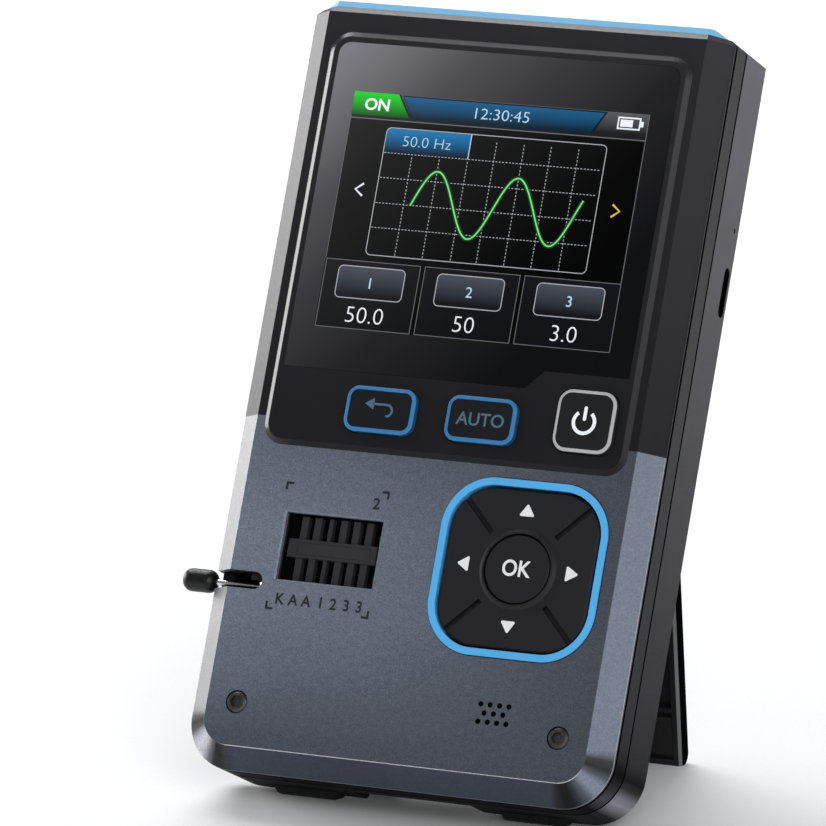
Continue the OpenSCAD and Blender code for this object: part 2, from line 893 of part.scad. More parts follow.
module rear_shell() {
    color([0.2, 0.2, 0.21])
        difference() {
            union() {
                slab(seam_d, side_d - rear_edge)
                    outline();
                translate([0, 0, rear_edge - side_d])
                    mirror([0, 0, 1])
                        tapered_outline(0, rear_edge, rear_edge);
                crown(seam_d, side_d);
                hump();
            }
            difference() {
                union() {
                    slab(seam_d - over, side_d - wall)
                        outline(wall);
                    slab(side_d - wall - over, recess_d - wall + 0.2)
                        translate([2 * wall - hump_w / 2, hump_low + 2 * wall])
                            square([hump_w - 4 * wall, hinge_y - hump_low]);
                    slab(side_d - wall - over, rear_d - wall)
                        translate([2 * wall - hump_w / 2, hinge_y + heel_reach + wall])
                            square([hump_w - 4 * wall, hump_top - hinge_y - heel_reach - 3 * wall]);
                    usb_nest();
                }
                scoop(scoop_w / 2 + wall, wall);
                front_screw_places()
                    drill(0, 0, boss / 2, seam_d - over, side_d);
                rear_screw_places()
                    drill(0, 0, boss / 2, seam_d - over, side_d);
            }
            stand_recess();
            scoop(scoop_w / 2, 0);
            translate([half_w - wall - over, usb_y, -usb_d])
                rotate([90, 0, 90])
                    linear_extrude(wall + 2 * over)
                        round_rect(usb_slot_w, usb_slot_h, usb_slot_h / 2 - 0.05);
            translate([half_w - wall - over, light_y, -light_d])
                rotate([0, 90, 0])
                    cylinder(r = light_r, h = wall + 2 * over);
            front_screw_places()
                drill(0, 0, screw / 2, seam_d - over, seam_d + 6);
            rear_screw_places() {
                drill(0, 0, screw / 2 + 0.1, seam_d - over, side_d + over);
                drill(0, 0, screw_head / 2 + 0.1, side_d - screw_head_h - 0.4, side_d + over);
            }
            for (s = [-1, 1])
                translate([s * (stand_w / 2 + pin_out), hinge_y, -hinge_d])
                    rotate([0, -s * 90, 0])
                        cylinder(d = pin, h = pin_out + 2);
            tongue(crown_h + over, fit / 3);
        }
}

module hump() {
    h = hump_h + over;
    intersection() {
        translate([0, hump_top, -rear_d])
            rotate([90, 0, 0])
                linear_extrude(hump_top - hump_low)
                    polygon([[hump_slope - hump_w / 2, 0], [hump_w / 2 - hump_slope, 0],
                        [hump_w / 2, hump_h], [hump_w / 2, h], [-hump_w / 2, h], [-hump_w / 2, hump_h]]);
        translate([0, 0, -rear_d])
            rotate([90, 0, 90])
                linear_extrude(hump_w, center = true)
                    polygon([[hump_low + hump_slope, 0], [hump_top - hump_slope, 0],
                        [hump_top, hump_h], [hump_top, h], [hump_low, h], [hump_low, hump_h]]);
    }
}

// Pocket that the closed stand lies in
module stand_recess() {
    low = hinge_y - stand_len - 0.4;
    slab(recess_d, rear_d + over)
        translate([-stand_w / 2 - stand_clear, low])
            square([stand_w + 2 * stand_clear, hinge_y + heel_reach - low]);
}

// Finger scoop under the foot of the closed stand, optionally thickened for the wall behind it
module scoop(half, skin) {
    low = -bevel_w - over;
    top = hinge_y - stand_len + 1;
    rotate([90, 0, 90])
        linear_extrude(2 * half, center = true)
            polygon([[low, -scoop_d + 1.5 * skin], [-bevel_w + 1.6, -scoop_d + 1.5 * skin],
                [top + skin, -recess_d + skin], [top + skin, -rear_d - over], [low, -rear_d - over]]);
}

// Space in the rear wall for the socket's metal shell
module usb_nest() {
    deep = usb_len + 2 * fit;
    translate([half_w - wall - deep, usb_y - usb_w / 2 - fit, -usb_d - usb_h / 2 - fit])
        cube([deep, usb_w + 2 * fit, usb_h]);
}

module stand_pins() {
    color([0.72, 0.72, 0.74])
        for (s = [-1, 1])
            translate([s * (stand_w / 2 + pin_out), hinge_y, -hinge_d])
                rotate([0, -s * 90, 0])
                    cylinder(d = pin, h = pin_out + pin_in);
}

module rubber_feet() {
    color([0.06, 0.06, 0.065])
        difference() {
            for (s = [-1, 1])
                slab(foot_front_d, foot_rear_d)
                    polygon([[s * foot_in, -bevel_w], [s * (foot_in + foot_h), foot_y],
                        [s * (foot_out - foot_h), foot_y], [s * foot_out, -bevel_w]]);
            below_floor();
        }
}

// Moving pieces -------------------------------------------------------------

// Direction pad: four arrows in one piece round the middle key, parted by grooves
module direction_pad() {
    r = ring_r - ring_band - pad_gap;
    color([0.13, 0.13, 0.14])
        at_pad() {
            difference() {
                union() {
                    translate([0, 0, pad_top - pad_edge])
                        sloped_pad(pad_w, pad_w, r, pad_edge, pad_edge);
                    slab(pad_edge - pad_top, pad_thick - pad_top)
                        round_rect(pad_w, pad_w, r);
                    translate([0, 0, pad_top])
                        cylinder(r1 = collar_foot_r, r2 = collar_top_r, h = collar_h);
                }
                drill(0, 0, pad_hole_r, -pad_top - 2 * over, pad_thick);
                for (a = [45:90:315])
                    rotate([0, 0, a])
                        translate([pad_groove_r, -pad_groove / 2, pad_top - pad_groove_d])
                            cube([pad_w, pad_groove, pad_groove_d + collar_h + over]);
            }
            for (a = [0:90:270])
                drill(arrow_r * cos(a), arrow_r * sin(a), pad_stem_r, pad_thick - pad_top - 0.1,
                    switch_d - key_lift + 0.1);
        }
}

// Elastic ring that the pad rocks on
module pad_pivot() {
    color([0.4, 0.4, 0.42])
        at_pad()
            slab(pad_thick - pad_top + 0.4, pad_thick - pad_top + 1.2)
                difference() {
                    circle(r = arrow_r - 1.4);
                    circle(r = arrow_r - 2.3);
                }
}

module ok_key() {
    color([0.13, 0.13, 0.14])
        at_pad() {
            translate([0, 0, pad_top + collar_h - ok_edge])
                cylinder(r1 = ok_r, r2 = ok_r - ok_edge, h = ok_edge);
            drill(0, 0, ok_r, ok_edge - pad_top - collar_h, pad_thick + 0.6);
            drill(0, 0, ok_flange_r, pad_thick - pad_top + 0.6, pad_thick - pad_top + 1.3);
            drill(0, 0, stem / 2, pad_thick - pad_top, switch_d - key_lift);
        }
}

module power_key() {
    color([0.7, 0.7, 0.7])
        translate([power_x, power_y, 0])
            key_cap(power_w, power_w, 2.6);
}

module auto_key() {
    color([0.18, 0.42, 0.65])
        translate([menu_x, menu_y, 0])
            key_cap(menu_w, menu_h, 2.2);
}

module return_key() {
    color([0.18, 0.42, 0.65])
        translate([menu_x - key_pitch, menu_y, 0])
            key_cap(menu_w, menu_h, 2.2);
}

// Test socket: a base on the board, contacts in two rows of slots, a slider that clamps
// them and a lever whose shaft runs across the base's end block
module contact_places() {
    for (i = [0:contacts - 1], s = [-1, 1])
        translate([-socket_x + (i - (contacts - 1) / 2) * contact_pitch, pad_y + s * row_gap / 2, 0])
            children();
}

module zif_base() {
    end_w = 2 * (shaft_r + end_wall);
    top_d = socket_d + slider_t + 0.1;
    color([0.2, 0.19, 0.18])
        difference() {
            union() {
                slab(top_d, board_d)
                    translate([-socket_x, pad_y])
                        square([socket_w, socket_h - 1.6], center = true);
                slab(face_wall + 0.1, board_d)
                    translate([lever_x - end_w / 2, block_y])
                        square([end_w, block_len]);
            }
            contact_places()
                slab(socket_d, socket_d + slot_depth)
                    square([slot_w, slot_len], center = true);
            translate([lever_x, pad_y + socket_h / 2, -lever_d])
                rotate([90, 0, 0])
                    cylinder(r = shaft_r + 0.05, h = socket_h + over);
        }
}

module zif_slider() {
    color([0.27, 0.25, 0.24])
        union() {
            slab(socket_d, socket_d + slider_t)
                translate([-socket_x, pad_y])
                    square([slider_w, row_gap - slot_len - 0.1], center = true);
            contact_ribs();
        }
}

// Ribs that part neighbouring contacts; the middle one is a thin blade
module contact_ribs() {
    for (i = [1:contacts - 1])
        slab(socket_d + slider_step, socket_d + slider_t)
            translate([-socket_x + (i - contacts / 2) * contact_pitch, pad_y])
                square([i == floor(contacts / 2) ? thin_rib : contact_pitch - slot_w, window_h - 0.6],
                    center = true);
}

module zif_contacts() {
    top_d = socket_d + slider_t + contact_lip;
    color([0.8, 0.7, 0.4])
        contact_places()
            for (s = [-1, 1])
                translate([s * 0.4, 0, 0])
                    slab(top_d, socket_d + slot_depth)
                        square([contact_t, 1.4], center = true);
}

module zif_lever() {
    hub_end = block_y - 0.1;
    color([0.75, 0.75, 0.77])
        translate([lever_x, 0, -lever_d]) {
            translate([0, block_y + block_len, 0])
                rotate([90, 0, 0])
                    cylinder(r = shaft_r, h = block_len + 0.2);
            translate([0, hub_end, 0])
                rotate([90, 0, 0])
                    cylinder(r = hub_r, h = hub_end - lever_y + rod / 2);
            translate([0, lever_y, 0])
                rotate([0, -90, 0])
                    cylinder(d = rod, h = lever_len - 1.2);
        }
}

module lever_knob() {
    color([0.06, 0.06, 0.065])
        translate([lever_x - lever_len + knob_len, lever_y, -lever_d])
            rotate([0, -90, 0])
                difference() {
                    rotate_extrude()
                        intersection() {
                            translate([0, knob_len / 2])
                                round_rect(knob, knob_len, knob_round);
                            square([knob, knob_len]);
                        }
                    translate([0, 0, -over])
                        cylinder(d = rod, h = knob_len - 1.2 + over);
                }
}

// Stand, drawn closed about its hinge, then opened
module opened() {
    translate([0, hinge_y, -hinge_d])
        rotate([stand_open, 0, 0])
            children();
}

module stand() {
    rim = 1.5;
    deep = 1.6;
    pad_h = 9;
    color([0.1, 0.1, 0.105])
        difference() {
            opened()
                difference() {
                    rotate([90, 0, 90])
                        linear_extrude(stand_w, center = true)
                            stand_profile();
                    for (s = [-1, 1])
                        translate([s * stand_w / 2, 0, stand_t / 2])
                            rotate([90, 45, 0])
                                cube([stand_edge * sqrt(2), stand_edge * sqrt(2), 2 * stand_len + 8 * stand_t],
                                    center = true);
                    // hollow inner face with a crossbar above the foot pad
                    difference() {
                        translate([rim - stand_w / 2, pad_h + 2 - stand_len, stand_t / 2 - deep])
                            cube([stand_w - 2 * rim, stand_len - pad_h - 7, deep + over]);
                        for (s = [-1, 1])
                            translate([s * stand_w / 6 - 0.6, -stand_len, -stand_t / 2])
                                cube([1.2, stand_len, stand_t]);
                    }
                    translate([rim - stand_w / 2, 1.1 - stand_len, stand_t / 2 - 0.8])
                        cube([stand_w - 2 * rim, pad_h, 0.8 + over]);
                    for (s = [-1, 1])
                        translate([s * stand_w / 2, 0, 0])
                            rotate([0, -s * 90, 0])
                                cylinder(d = pin + 2 * pin_fit, h = pin_in + 0.3);
                }
            below_floor();
        }
}

// Side view of the stand: a plate with a round outer end, the hinge barrel and a heel
// whose face bears on the recess when the stand is open
module stand_profile() {
    end = stand_len + 0.2;
    translate([-end, stand_round - stand_t / 2])
        square([end, stand_t - stand_round]);
    translate([stand_round - end, -stand_t / 2])
        square([end - stand_round, stand_t]);
    intersection() {
        translate([stand_round - end, stand_round - stand_t / 2])
            circle(r = stand_round);
        translate([-end, -stand_t / 2])
            square([end, stand_t]);
    }
    circle(d = stand_t);
    stop = stand_t / 2 + stand_clear - 0.05;
    top = (stop - stand_t / 2 * cos(stand_open)) / sin(stand_open);
    polygon([[-1, -stand_t / 2], [heel, -stand_t / 2], [heel, (stop - heel * sin(stand_open)) / cos(stand_open)],
        [top, stand_t / 2], [-1, stand_t / 2]]);
}

module stand_pad() {
    rim = 1.5;
    pad_h = 9;
    color([0.2, 0.2, 0.21])
        opened()
            translate([rim + 0.1 - stand_w / 2, 2 - stand_len, stand_t / 2 - 0.8])
                cube([stand_w - 2 * rim - 0.2, pad_h - 1.8, 0.8]);
}

// Fasteners -----------------------------------------------------------------

module front_screws() {
    color([0.2, 0.2, 0.2])
        front_screw_places()
            difference() {
                union() {
                    drill(0, 0, screw_head / 2, 0.2, screw_head_h - 0.4);
                    translate([0, 0, -0.2])
                        cylinder(d1 = screw_head, d2 = screw_head - 1, h = 0.5);
                    drill(0, 0, screw / 2, 0, seam_d + 5);
                }
                slab(-over, 0.5)
                    circle(d = 2.3, $fn = 6);
            }
}

module rear_screws() {
    color([0.2, 0.2, 0.2])
        rear_screw_places()
            difference() {
                union() {
                    drill(0, 0, screw_head / 2, side_d - screw_head_h - 0.4, side_d - 0.4);
                    drill(0, 0, screw / 2, face_wall + 2, side_d - 1);
                }
                for (a = [0, 90])
                    rotate([0, 0, a])
                        slab(side_d - 1.1, side_d + over)
                            square([2.2, 0.5], center = true);
            }
}

module board_screws() {
    color([0.3, 0.3, 0.3])
        board_screw_places()
            difference() {
                union() {
                    drill(0, 0, screw, board_back, board_back + 1.2);
                    drill(0, 0, screw / 2, board_d - 5, board_back + 0.5);
                }
                for (a = [0, 90])
                    rotate([0, 0, a])
                        slab(board_back + 0.6, board_back + over + 1)
                            square([cross_slot, 0.5], center = true);
            }
}

placed() front_shell();
placed() faceplate();
placed() display_lens();
placed() lcd_module();
placed() light_ring();
placed() direction_pad();
placed() pad_pivot();
placed() ok_key();
placed() power_key();
placed() auto_key();
placed() return_key();
placed() main_board();
placed() key_switches();
placed() zif_base();
placed() zif_slider();
placed() zif_contacts();
placed() zif_lever();
placed() lever_knob();
placed() speaker();
placed() signal_sockets();
placed() top_cap();
placed() usb_socket();
placed() charge_light();
placed() battery();
placed() rear_shell();
placed() stand();
placed() stand_pad();
placed() stand_pins();
placed() rubber_feet();
placed() front_screws();
placed() rear_screws();
placed() board_screws();
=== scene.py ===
import json
import math

import bpy
from mathutils import Matrix, Vector


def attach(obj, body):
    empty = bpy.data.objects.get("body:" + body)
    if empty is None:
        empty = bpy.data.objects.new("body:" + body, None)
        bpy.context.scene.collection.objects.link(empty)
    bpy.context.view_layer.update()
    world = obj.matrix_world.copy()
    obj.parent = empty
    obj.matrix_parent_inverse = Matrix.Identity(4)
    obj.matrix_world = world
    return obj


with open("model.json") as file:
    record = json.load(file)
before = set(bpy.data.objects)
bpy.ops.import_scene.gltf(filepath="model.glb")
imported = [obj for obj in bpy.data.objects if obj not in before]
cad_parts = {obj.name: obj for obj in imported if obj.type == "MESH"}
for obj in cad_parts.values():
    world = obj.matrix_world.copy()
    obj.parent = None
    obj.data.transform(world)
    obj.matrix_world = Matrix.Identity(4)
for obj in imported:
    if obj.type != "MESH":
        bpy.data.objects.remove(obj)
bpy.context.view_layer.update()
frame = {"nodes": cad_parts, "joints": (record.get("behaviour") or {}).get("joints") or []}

NODES = frame["nodes"]
LEVER_SWING = next(j for j in frame["joints"] if j["name"] == "lever_swing")

# --- the device frame: X across the face, Y up the face, Z out of the face, in mm ---
# The lever's hinge line runs up the face, so its joint gives both the lean and the place.
MM = 0.001
UP = LEVER_SWING["axis"]
LEAN = math.atan2(UP[1], UP[2])
HINGE = Vector((-31.35, 29.6, -5.2))
TURN = Matrix.Rotation(math.pi / 2 - LEAN, 4, "X")
SHIFT = Vector(LEVER_SWING["pos_m"]) / MM - TURN.to_3x3() @ HINGE
DEVICE = Matrix.Scale(MM, 4) @ Matrix.Translation(SHIFT) @ TURN

# --- places on the body, in device mm ---
HALF_WIDTH = 41.0
BODY_TOP = 134
SLATE_TOP = 56.0
CORNER_X, CORNER_Y = 32.0, 4.9         # middle of the round lower corners, on both sides
SCREWS_TOP, SCREWS_SIDE = 18.0, 36.4   # the front screws' holes lie under and inside these
FRAME_UPPER, FRAME_LEFT = 129.9, -33.5  # the display frame's upper and left slopes
BEVEL_FOOT = -3.65              # where the faceplate's bevel ends and its rim begins
RIM_FOOT = -4.0                 # where the rim ends, over the groove
KEY_WALL = 1.66                 # where the side walls of the keys begin
ZIF_WALL = -3.4                 # where those of the test socket's openings begin
RING_AT = (18.3, 36.7)
GLASS = 0.6                     # the lens' face, on which the picture lies
PAD_TOP = 0.15
OK_TOP = 0.65
KEY_TOP = 1.9
BAR_TOP = -1.5
PICTURE = (-28.8, 76.8, 28.8, 120.2)
PANEL = (-21.3, 90.45, 21.75, 114.1)
HEADER_FOOT = 115.45
BOXES_TOP = 89.3                # upper edge of the value boxes
SHEEN_X = (-42.0, 34.0)         # where the glass' sheen ends to the left and right
SHEEN_Y = (66.0, 132.0)         # and below and above

# --- camera: fitted to the photograph by least squares, in the device frame ---
CAMERA_AT = Vector((601.565, -186.997, 1339.135))
CAMERA_RIGHT = Vector((0.90874865, 0.16976784, -0.3812542))
CAMERA_DOWN = Vector((0.0885499, -0.97115905, -0.22137981))
CAMERA_AHEAD = Vector((-0.40784164, 0.16741858, -0.8975724))
FOCAL_PIXELS = 8404.7
PHOTO_PIXELS = 826
SENSOR = 36


def add_camera():
    cam = bpy.data.cameras.new("camera")
    obj = bpy.data.objects.new("camera", cam)
    bpy.context.scene.collection.objects.link(obj)
    turn = TURN.to_3x3()
    axes = [turn @ CAMERA_RIGHT, turn @ -CAMERA_DOWN, turn @ -CAMERA_AHEAD]
    pose = Matrix([[a[i] for a in axes] for i in range(3)]).to_4x4()
    pose.translation = DEVICE @ CAMERA_AT
    obj.matrix_world = pose
    cam.sensor_fit = "HORIZONTAL"
    cam.sensor_width = SENSOR
    cam.lens = FOCAL_PIXELS * SENSOR / PHOTO_PIXELS
    cam.clip_end = 20
    bpy.context.scene.camera = obj


# --- light and floor, in metres and watts ---
AIM = Vector((0, 0, 0.065))
FLOOR_HALF = 3.0
WHITE = (1, 1, 1)
LAMPS = {  # place, size, power, colour
    "top_back": ((-0.5, 0.62, 0.95), (1.0, 0.8), 13.0, WHITE),
    "front": ((0.9, -1.3, 0.8), (0.9, 0.9), 12.0, WHITE),
    "left": ((-1.064, 0.19, 0.22), (0.8, 0.42), 8.3, (1.0, 0.985, 0.975)),
    "right": ((0.95, -0.42, 0.5), (0.3, 0.5), 0.8, (0.95, 0.97, 1.0)),
}


def add_lamp(name, place, size, power, colour):
    """An area lamp aimed at the middle of the body."""
    lamp = bpy.data.lights.new(name, "AREA")
    lamp.shape = "RECTANGLE"
    lamp.size, lamp.size_y = size
    lamp.energy = power
    lamp.color = colour
    obj = bpy.data.objects.new(name, lamp)
    obj.location = place
    obj.rotation_euler = (AIM - obj.location).to_track_quat("-Z", "Y").to_euler()
    bpy.context.scene.collection.objects.link(obj)


def add_studio():
    world = bpy.data.worlds.new("studio")
    world.use_nodes = True
    back = world.node_tree.nodes["Background"]
    back.inputs["Color"].default_value = (0.93, 0.96, 1.0, 1)
    back.inputs["Strength"].default_value = 0.28
    bpy.context.scene.world = world
    bpy.context.scene.view_settings.view_transform = "Standard"
    for name, values in LAMPS.items():
        add_lamp(name, *values)


def add_floor():
    mesh = bpy.data.meshes.new("floor")
    s = FLOOR_HALF
    mesh.from_pydata([(-s, -s, 0), (s, -s, 0), (s, s, 0), (-s, s, 0)], [], [(0, 1, 2, 3)])
    floor = bpy.data.objects.new("floor", mesh)
    bpy.context.scene.collection.objects.link(floor)
    m = Material("floor", (0.9, 0.9, 0.9), 0.7, specular=0.2)
    speckle = m.noise(0.4, detail=2)
    m.feed("Base Color", m.ramp(speckle, [(0.3, (0.88, 0.88, 0.885)), (0.7, (0.92, 0.92, 0.92))]))
    mesh.materials.append(m.mat)


# --- colours ---
def srgb(*values):
    """Linear colour from 0-255 display values."""
    out = []
    for v in values:
        v /= 255
        out.append(v / 12.92 if v <= 0.04045 else ((v + 0.055) / 1.055) ** 2.4)
    return tuple(out)


def scaled(colour, k):
    return tuple(c * k for c in colour)


def rgba(value):
    """A colour with its alpha; a plain number is a grey."""
    return (value, value, value, 1) if isinstance(value, (int, float)) else (*value, 1)


# --- material nodes ---
IOR = 1.45
NOISE_LOW, NOISE_HIGH = 0.3, 0.7  # the range in which most of a noise lies
ROUND_FROM, ROUND_TO = -40, 110   # the degrees that round_corner covers


class Material:
    """A node material whose patterns are laid out in device millimetres. Its methods return
    sockets and take sockets, numbers or colours; a number in place of a colour is a grey."""

    def __init__(self, name, colour, rough, metal=0.0, coat=0.0, coat_rough=0.1, specular=0.5):
        self.mat = bpy.data.materials.new(name)
        self.mat.use_nodes = True
        self.tree = self.mat.node_tree
        self.bsdf = self.tree.nodes["Principled BSDF"]
        self.place = None
        for socket, value in (
                ("Base Color", colour), ("Roughness", rough), ("Metallic", metal),
                ("Coat Weight", coat), ("Coat Roughness", coat_rough), ("IOR", IOR),
                ("Specular IOR Level", specular)):
            self.feed(socket, value)

    def add(self, kind, **values):
        node = self.tree.nodes.new(kind)
        for key, value in values.items():
            if key in node.inputs:
                node.inputs[key].default_value = value
            else:
                setattr(node, key, value)
        return node

    def put(self, socket, value):
        """Links a socket to an input, or sets the input to a plain value."""
        if hasattr(value, "links"):
            self.tree.links.new(value, socket)
        elif socket.type == "RGBA":
            socket.default_value = rgba(value)
        else:
            socket.default_value = value

    def feed(self, name, value):
        """Gives an input of the shader its value."""
        self.put(self.bsdf.inputs[name], value)

    def calc(self, operation, a, b=0.0):
        node = self.add("ShaderNodeMath", operation=operation)
        self.put(node.inputs[0], a)
        self.put(node.inputs[1], b)
        return node.outputs[0]

    def times(self, a, b):
        return self.calc("MULTIPLY", a, b)

    def mix(self, fac, a, b, kind="MIX"):
        node = self.add("ShaderNodeMix", data_type="RGBA", blend_type=kind)
        # the node has its sockets once for each type: 6, 7 and 2 are those for colours
        for socket, value in ((node.inputs["Factor"], fac), (node.inputs[6], a),
                              (node.inputs[7], b)):
            self.put(socket, value)
        return node.outputs[2]

    def tint(self, a, b):
        """Two colours multiplied."""
        return self.mix(1.0, a, b, "MULTIPLY")

    def ramp(self, fac, stops):
        """A colour ramp with stops as (place, colour)."""
        node = self.add("ShaderNodeValToRGB")
        ramp = node.color_ramp
        while len(ramp.elements) < len(stops):
            ramp.elements.new(0.5)
        for element, (at, value) in zip(ramp.elements, stops):
            element.position = at
            element.color = rgba(value)
        self.put(node.inputs["Fac"], fac)
        return node.outputs["Color"]

    def remap(self, value, from_low, from_high, low=0.0, high=1.0):
        node = self.add("ShaderNodeMapRange")
        for key, v in (("From Min", from_low), ("From Max", from_high), ("To Min", low),
                       ("To Max", high), ("Value", value)):
            self.put(node.inputs[key], v)
        return node.outputs["Result"]

    def bump(self, height, strength, distance):
        node = self.add("ShaderNodeBump", Strength=strength, Distance=distance * MM)
        self.put(node.inputs["Height"], height)
        self.feed("Normal", node.outputs["Normal"])

    # places
    def device(self):
        """The place in the device frame, in mm."""
        if self.place is None:
            coords = self.add("ShaderNodeTexCoord")
            mapping = self.add("ShaderNodeMapping", vector_type="POINT")
            mapping.inputs["Location"].default_value = DEVICE.inverted().translation
            mapping.inputs["Rotation"].default_value = (LEAN - math.pi / 2, 0, 0)
            mapping.inputs["Scale"].default_value = (1 / MM,) * 3
            self.put(mapping.inputs["Vector"], coords.outputs["Object"])
            self.place = mapping.outputs["Vector"]
        return self.place

    def axis(self, which):
        split = self.add("ShaderNodeSeparateXYZ")
        self.put(split.inputs[0], self.device())
        return split.outputs[which]

    def across(self):
        """Distance from the body's middle plane, in mm."""
        return self.calc("ABSOLUTE", self.axis("X"))

    def rise(self, which, start, end):
        """From 0 at start to 1 at end along an axis, and level beyond them."""
        return self.remap(self.axis(which), start, end)

    def band(self, which, low, high, soft):
        """1 between two places along an axis, 0 beyond, with soft ends."""
        half = soft / 2
        return self.times(self.rise(which, low - half, low + half),
                          self.remap(self.axis(which), high - half, high + half, 1.0, 0.0))

    def round_corner(self, stops):
        """A ramp round the lower corners: stops at degrees from the side (0) to the foot (90)."""
        turn = self.calc("ARCTAN2", self.calc("SUBTRACT", CORNER_Y, self.axis("Y")),
                         self.calc("SUBTRACT", self.across(), CORNER_X))
        turn = self.remap(turn, math.radians(ROUND_FROM), math.radians(ROUND_TO))
        span = ROUND_TO - ROUND_FROM
        return self.ramp(turn, [((at - ROUND_FROM) / span, value) for at, value in stops])

    def sheen(self, stops):
        """A ramp over the display, from its lower right (0) to its upper left (1), for painted
        sheen.
        """
        across = self.remap(self.axis("X"), *SHEEN_X, 0.62, 0.0)
        upward = self.remap(self.axis("Y"), *SHEEN_Y, 0.0, 0.5)
        return self.ramp(self.calc("ADD", across, upward), stops)

    # noise
    def noise(self, size, detail=3.0, rough=0.5, stretch=(1, 1, 1)):
        """Noise whose features are about size mm across."""
        tex = self.add("ShaderNodeTexNoise", Scale=1.0, Detail=detail, Roughness=rough)
        scale = self.add("ShaderNodeVectorMath", operation="MULTIPLY")
        scale.inputs[1].default_value = tuple(s / size for s in stretch)
        self.put(scale.inputs[0], self.device())
        self.put(tex.inputs["Vector"], scale.outputs[0])
        return tex.outputs["Fac"]

    def swing(self, noise, low, high):
        """A value that a noise takes from low to high."""
        return self.remap(noise, NOISE_LOW, NOISE_HIGH, low, high)

    def mottled(self, noise, colour, low, high):
        """A colour that a noise takes from low to high times itself."""
        return self.ramp(noise, [(NOISE_LOW, scaled(colour, low)),
                                 (NOISE_HIGH, scaled(colour, high))])

    def etched(self, colour, rough, grain, relief, spread):
        """The fine grain and slow shifts of tone of a moulding, as its tone and roughness."""
        tone = self.mottled(self.noise(18, detail=2), colour, 1 - spread, 1 + spread)
        fine = self.noise(grain * 2, detail=2, rough=0.6)
        self.bump(fine, relief, grain * 0.4)
        return tone, self.swing(fine, rough - 0.05, rough + 0.06)


# --- kinds of material ---
PLASTIC_SHADOW, PAINT_SHADOW = 0.003, 0.004  # tones of seams and holes


def moulded(name, colour, rough, grain, relief, spread=0.08, specular=0.4, wall_shade=None):
    """Moulded plastic or rubber with an etched grain of that size in mm; the last argument =
    (depth, tone) of side walls that get painted shade, deeper in tone than the top."""
    m = Material(name, colour, rough, specular=specular)
    tone, coarse = m.etched(colour, rough, grain, relief, spread)
    # painted shade on the side walls below the given depth
    if wall_shade:
        depth, shade = wall_shade
        deep = m.rise("Z", depth + 0.03, depth - 0.03)
        tone = m.mix(deep, tone, scaled(colour, shade))
        m.feed("Specular IOR Level", m.remap(deep, 0.0, 1.0, specular, specular * shade))
    m.feed("Base Color", tone)
    m.feed("Roughness", coarse)
    return m.mat


def body_half(name, colour, rough, up, shine, corner, dark, inner=None, display_frame=False):
    """A moulded half of the body. Its graded tones (painted light and shade) and shine (its gloss)
    run from the foot to the top; corner = a painted glint round the lower corners; dark = boxes,
    as (axis, low, high) limits, of seams and openings painted black as shade; inner = the tone of
    the painted shading away from the side faces."""
    m = Material(name, colour, rough, specular=0.4)
    tone, coarse = m.etched(colour, rough, grain=0.14, relief=0.15, spread=0.08)
    # painted light and shade: the tone grows lighter from the foot to the top
    shade_grade = m.ramp(m.rise("Y", 0, BODY_TOP), up)
    if inner is not None:
        side = m.remap(m.across(), HALF_WIDTH - 1.2, HALF_WIDTH - 0.4)
        shade_grade = m.mix(side, inner, shade_grade)
    tone = m.tint(tone, shade_grade)
    gloss = m.remap(m.axis("Y"), 0, BODY_TOP, *shine)
    if display_frame:
        # a painted highlight makes the frame's upper slope lighter, and its left one is smoother
        upper = m.times(m.rise("Y", FRAME_UPPER, FRAME_UPPER + 0.5), m.band("Z", 0.05, 0.55, 0.06))
        tone = m.mix(upper, tone, scaled(colour, 2.4))
        left = m.times(m.rise("X", FRAME_LEFT + 4.5, FRAME_LEFT), m.band("Z", 0.055, 0.545, 0.05))
        gloss = m.calc("ADD", gloss, m.remap(left, 0.0, 1.0, 0.0, 0.35))
        coarse = m.calc("ADD", coarse, m.remap(left, 0.0, 1.0, 0.0, -0.24))
    # painted glint: the outer faces get a curve of tone round the lower corners
    curve = m.round_corner(corner)
    outer = m.calc("MAXIMUM", m.remap(m.across(), HALF_WIDTH - 0.5, HALF_WIDTH - 0.2),
                   m.rise("Y", CORNER_Y - 0.1, CORNER_Y - 0.3))
    tone = m.mix(outer, tone, m.tint(tone, curve))
    gloss = m.times(gloss, m.mix(outer, 1.0, m.mix(1.0, curve, 1.0, "DARKEN")))
    # painted shade: seams and openings are painted near black, without gloss
    for limits in dark:
        black = 1.0
        for which, low, high in limits:
            black = m.times(black, m.band(which, low, high, 0.04))
        tone = m.mix(black, tone, PLASTIC_SHADOW)
        gloss = m.times(gloss, m.remap(black, 0.0, 1.0, 1.0, 0.0))
    m.feed("Specular IOR Level", gloss)
    m.feed("Base Color", tone)
    m.feed("Roughness", coarse)
    return m.mat


def stand_plastic(name, colour):
    """Black moulding with a painted highlight, a lighter tone, on its sloping edges and painted
    shade on its sides, which stay black.
    """
    m = Material(name, colour, 0.4, specular=0.12)
    fine = m.noise(0.3, detail=2, rough=0.6)
    split = m.add("ShaderNodeSeparateXYZ")
    m.put(split.inputs[0], m.add("ShaderNodeNewGeometry").outputs["True Normal"])
    aside = m.calc("ABSOLUTE", split.outputs["X"])
    # tone by slant: a painted highlight on the sloping edges, painted shade on the sides
    tone = m.ramp(aside, [(0.05, colour), (0.25, 0.15), (0.85, 0.15), (0.97, scaled(colour, 0.25))])
    m.feed("Base Color", m.tint(tone, m.mottled(m.noise(20), WHITE, 0.8, 1.15)))
    m.feed("Specular IOR Level", m.remap(aside, 0.5, 0.97, 0.3, 0.0))
    m.feed("Roughness", m.swing(fine, 0.34, 0.46))
    m.bump(fine, 0.12, 0.05)
    return m.mat


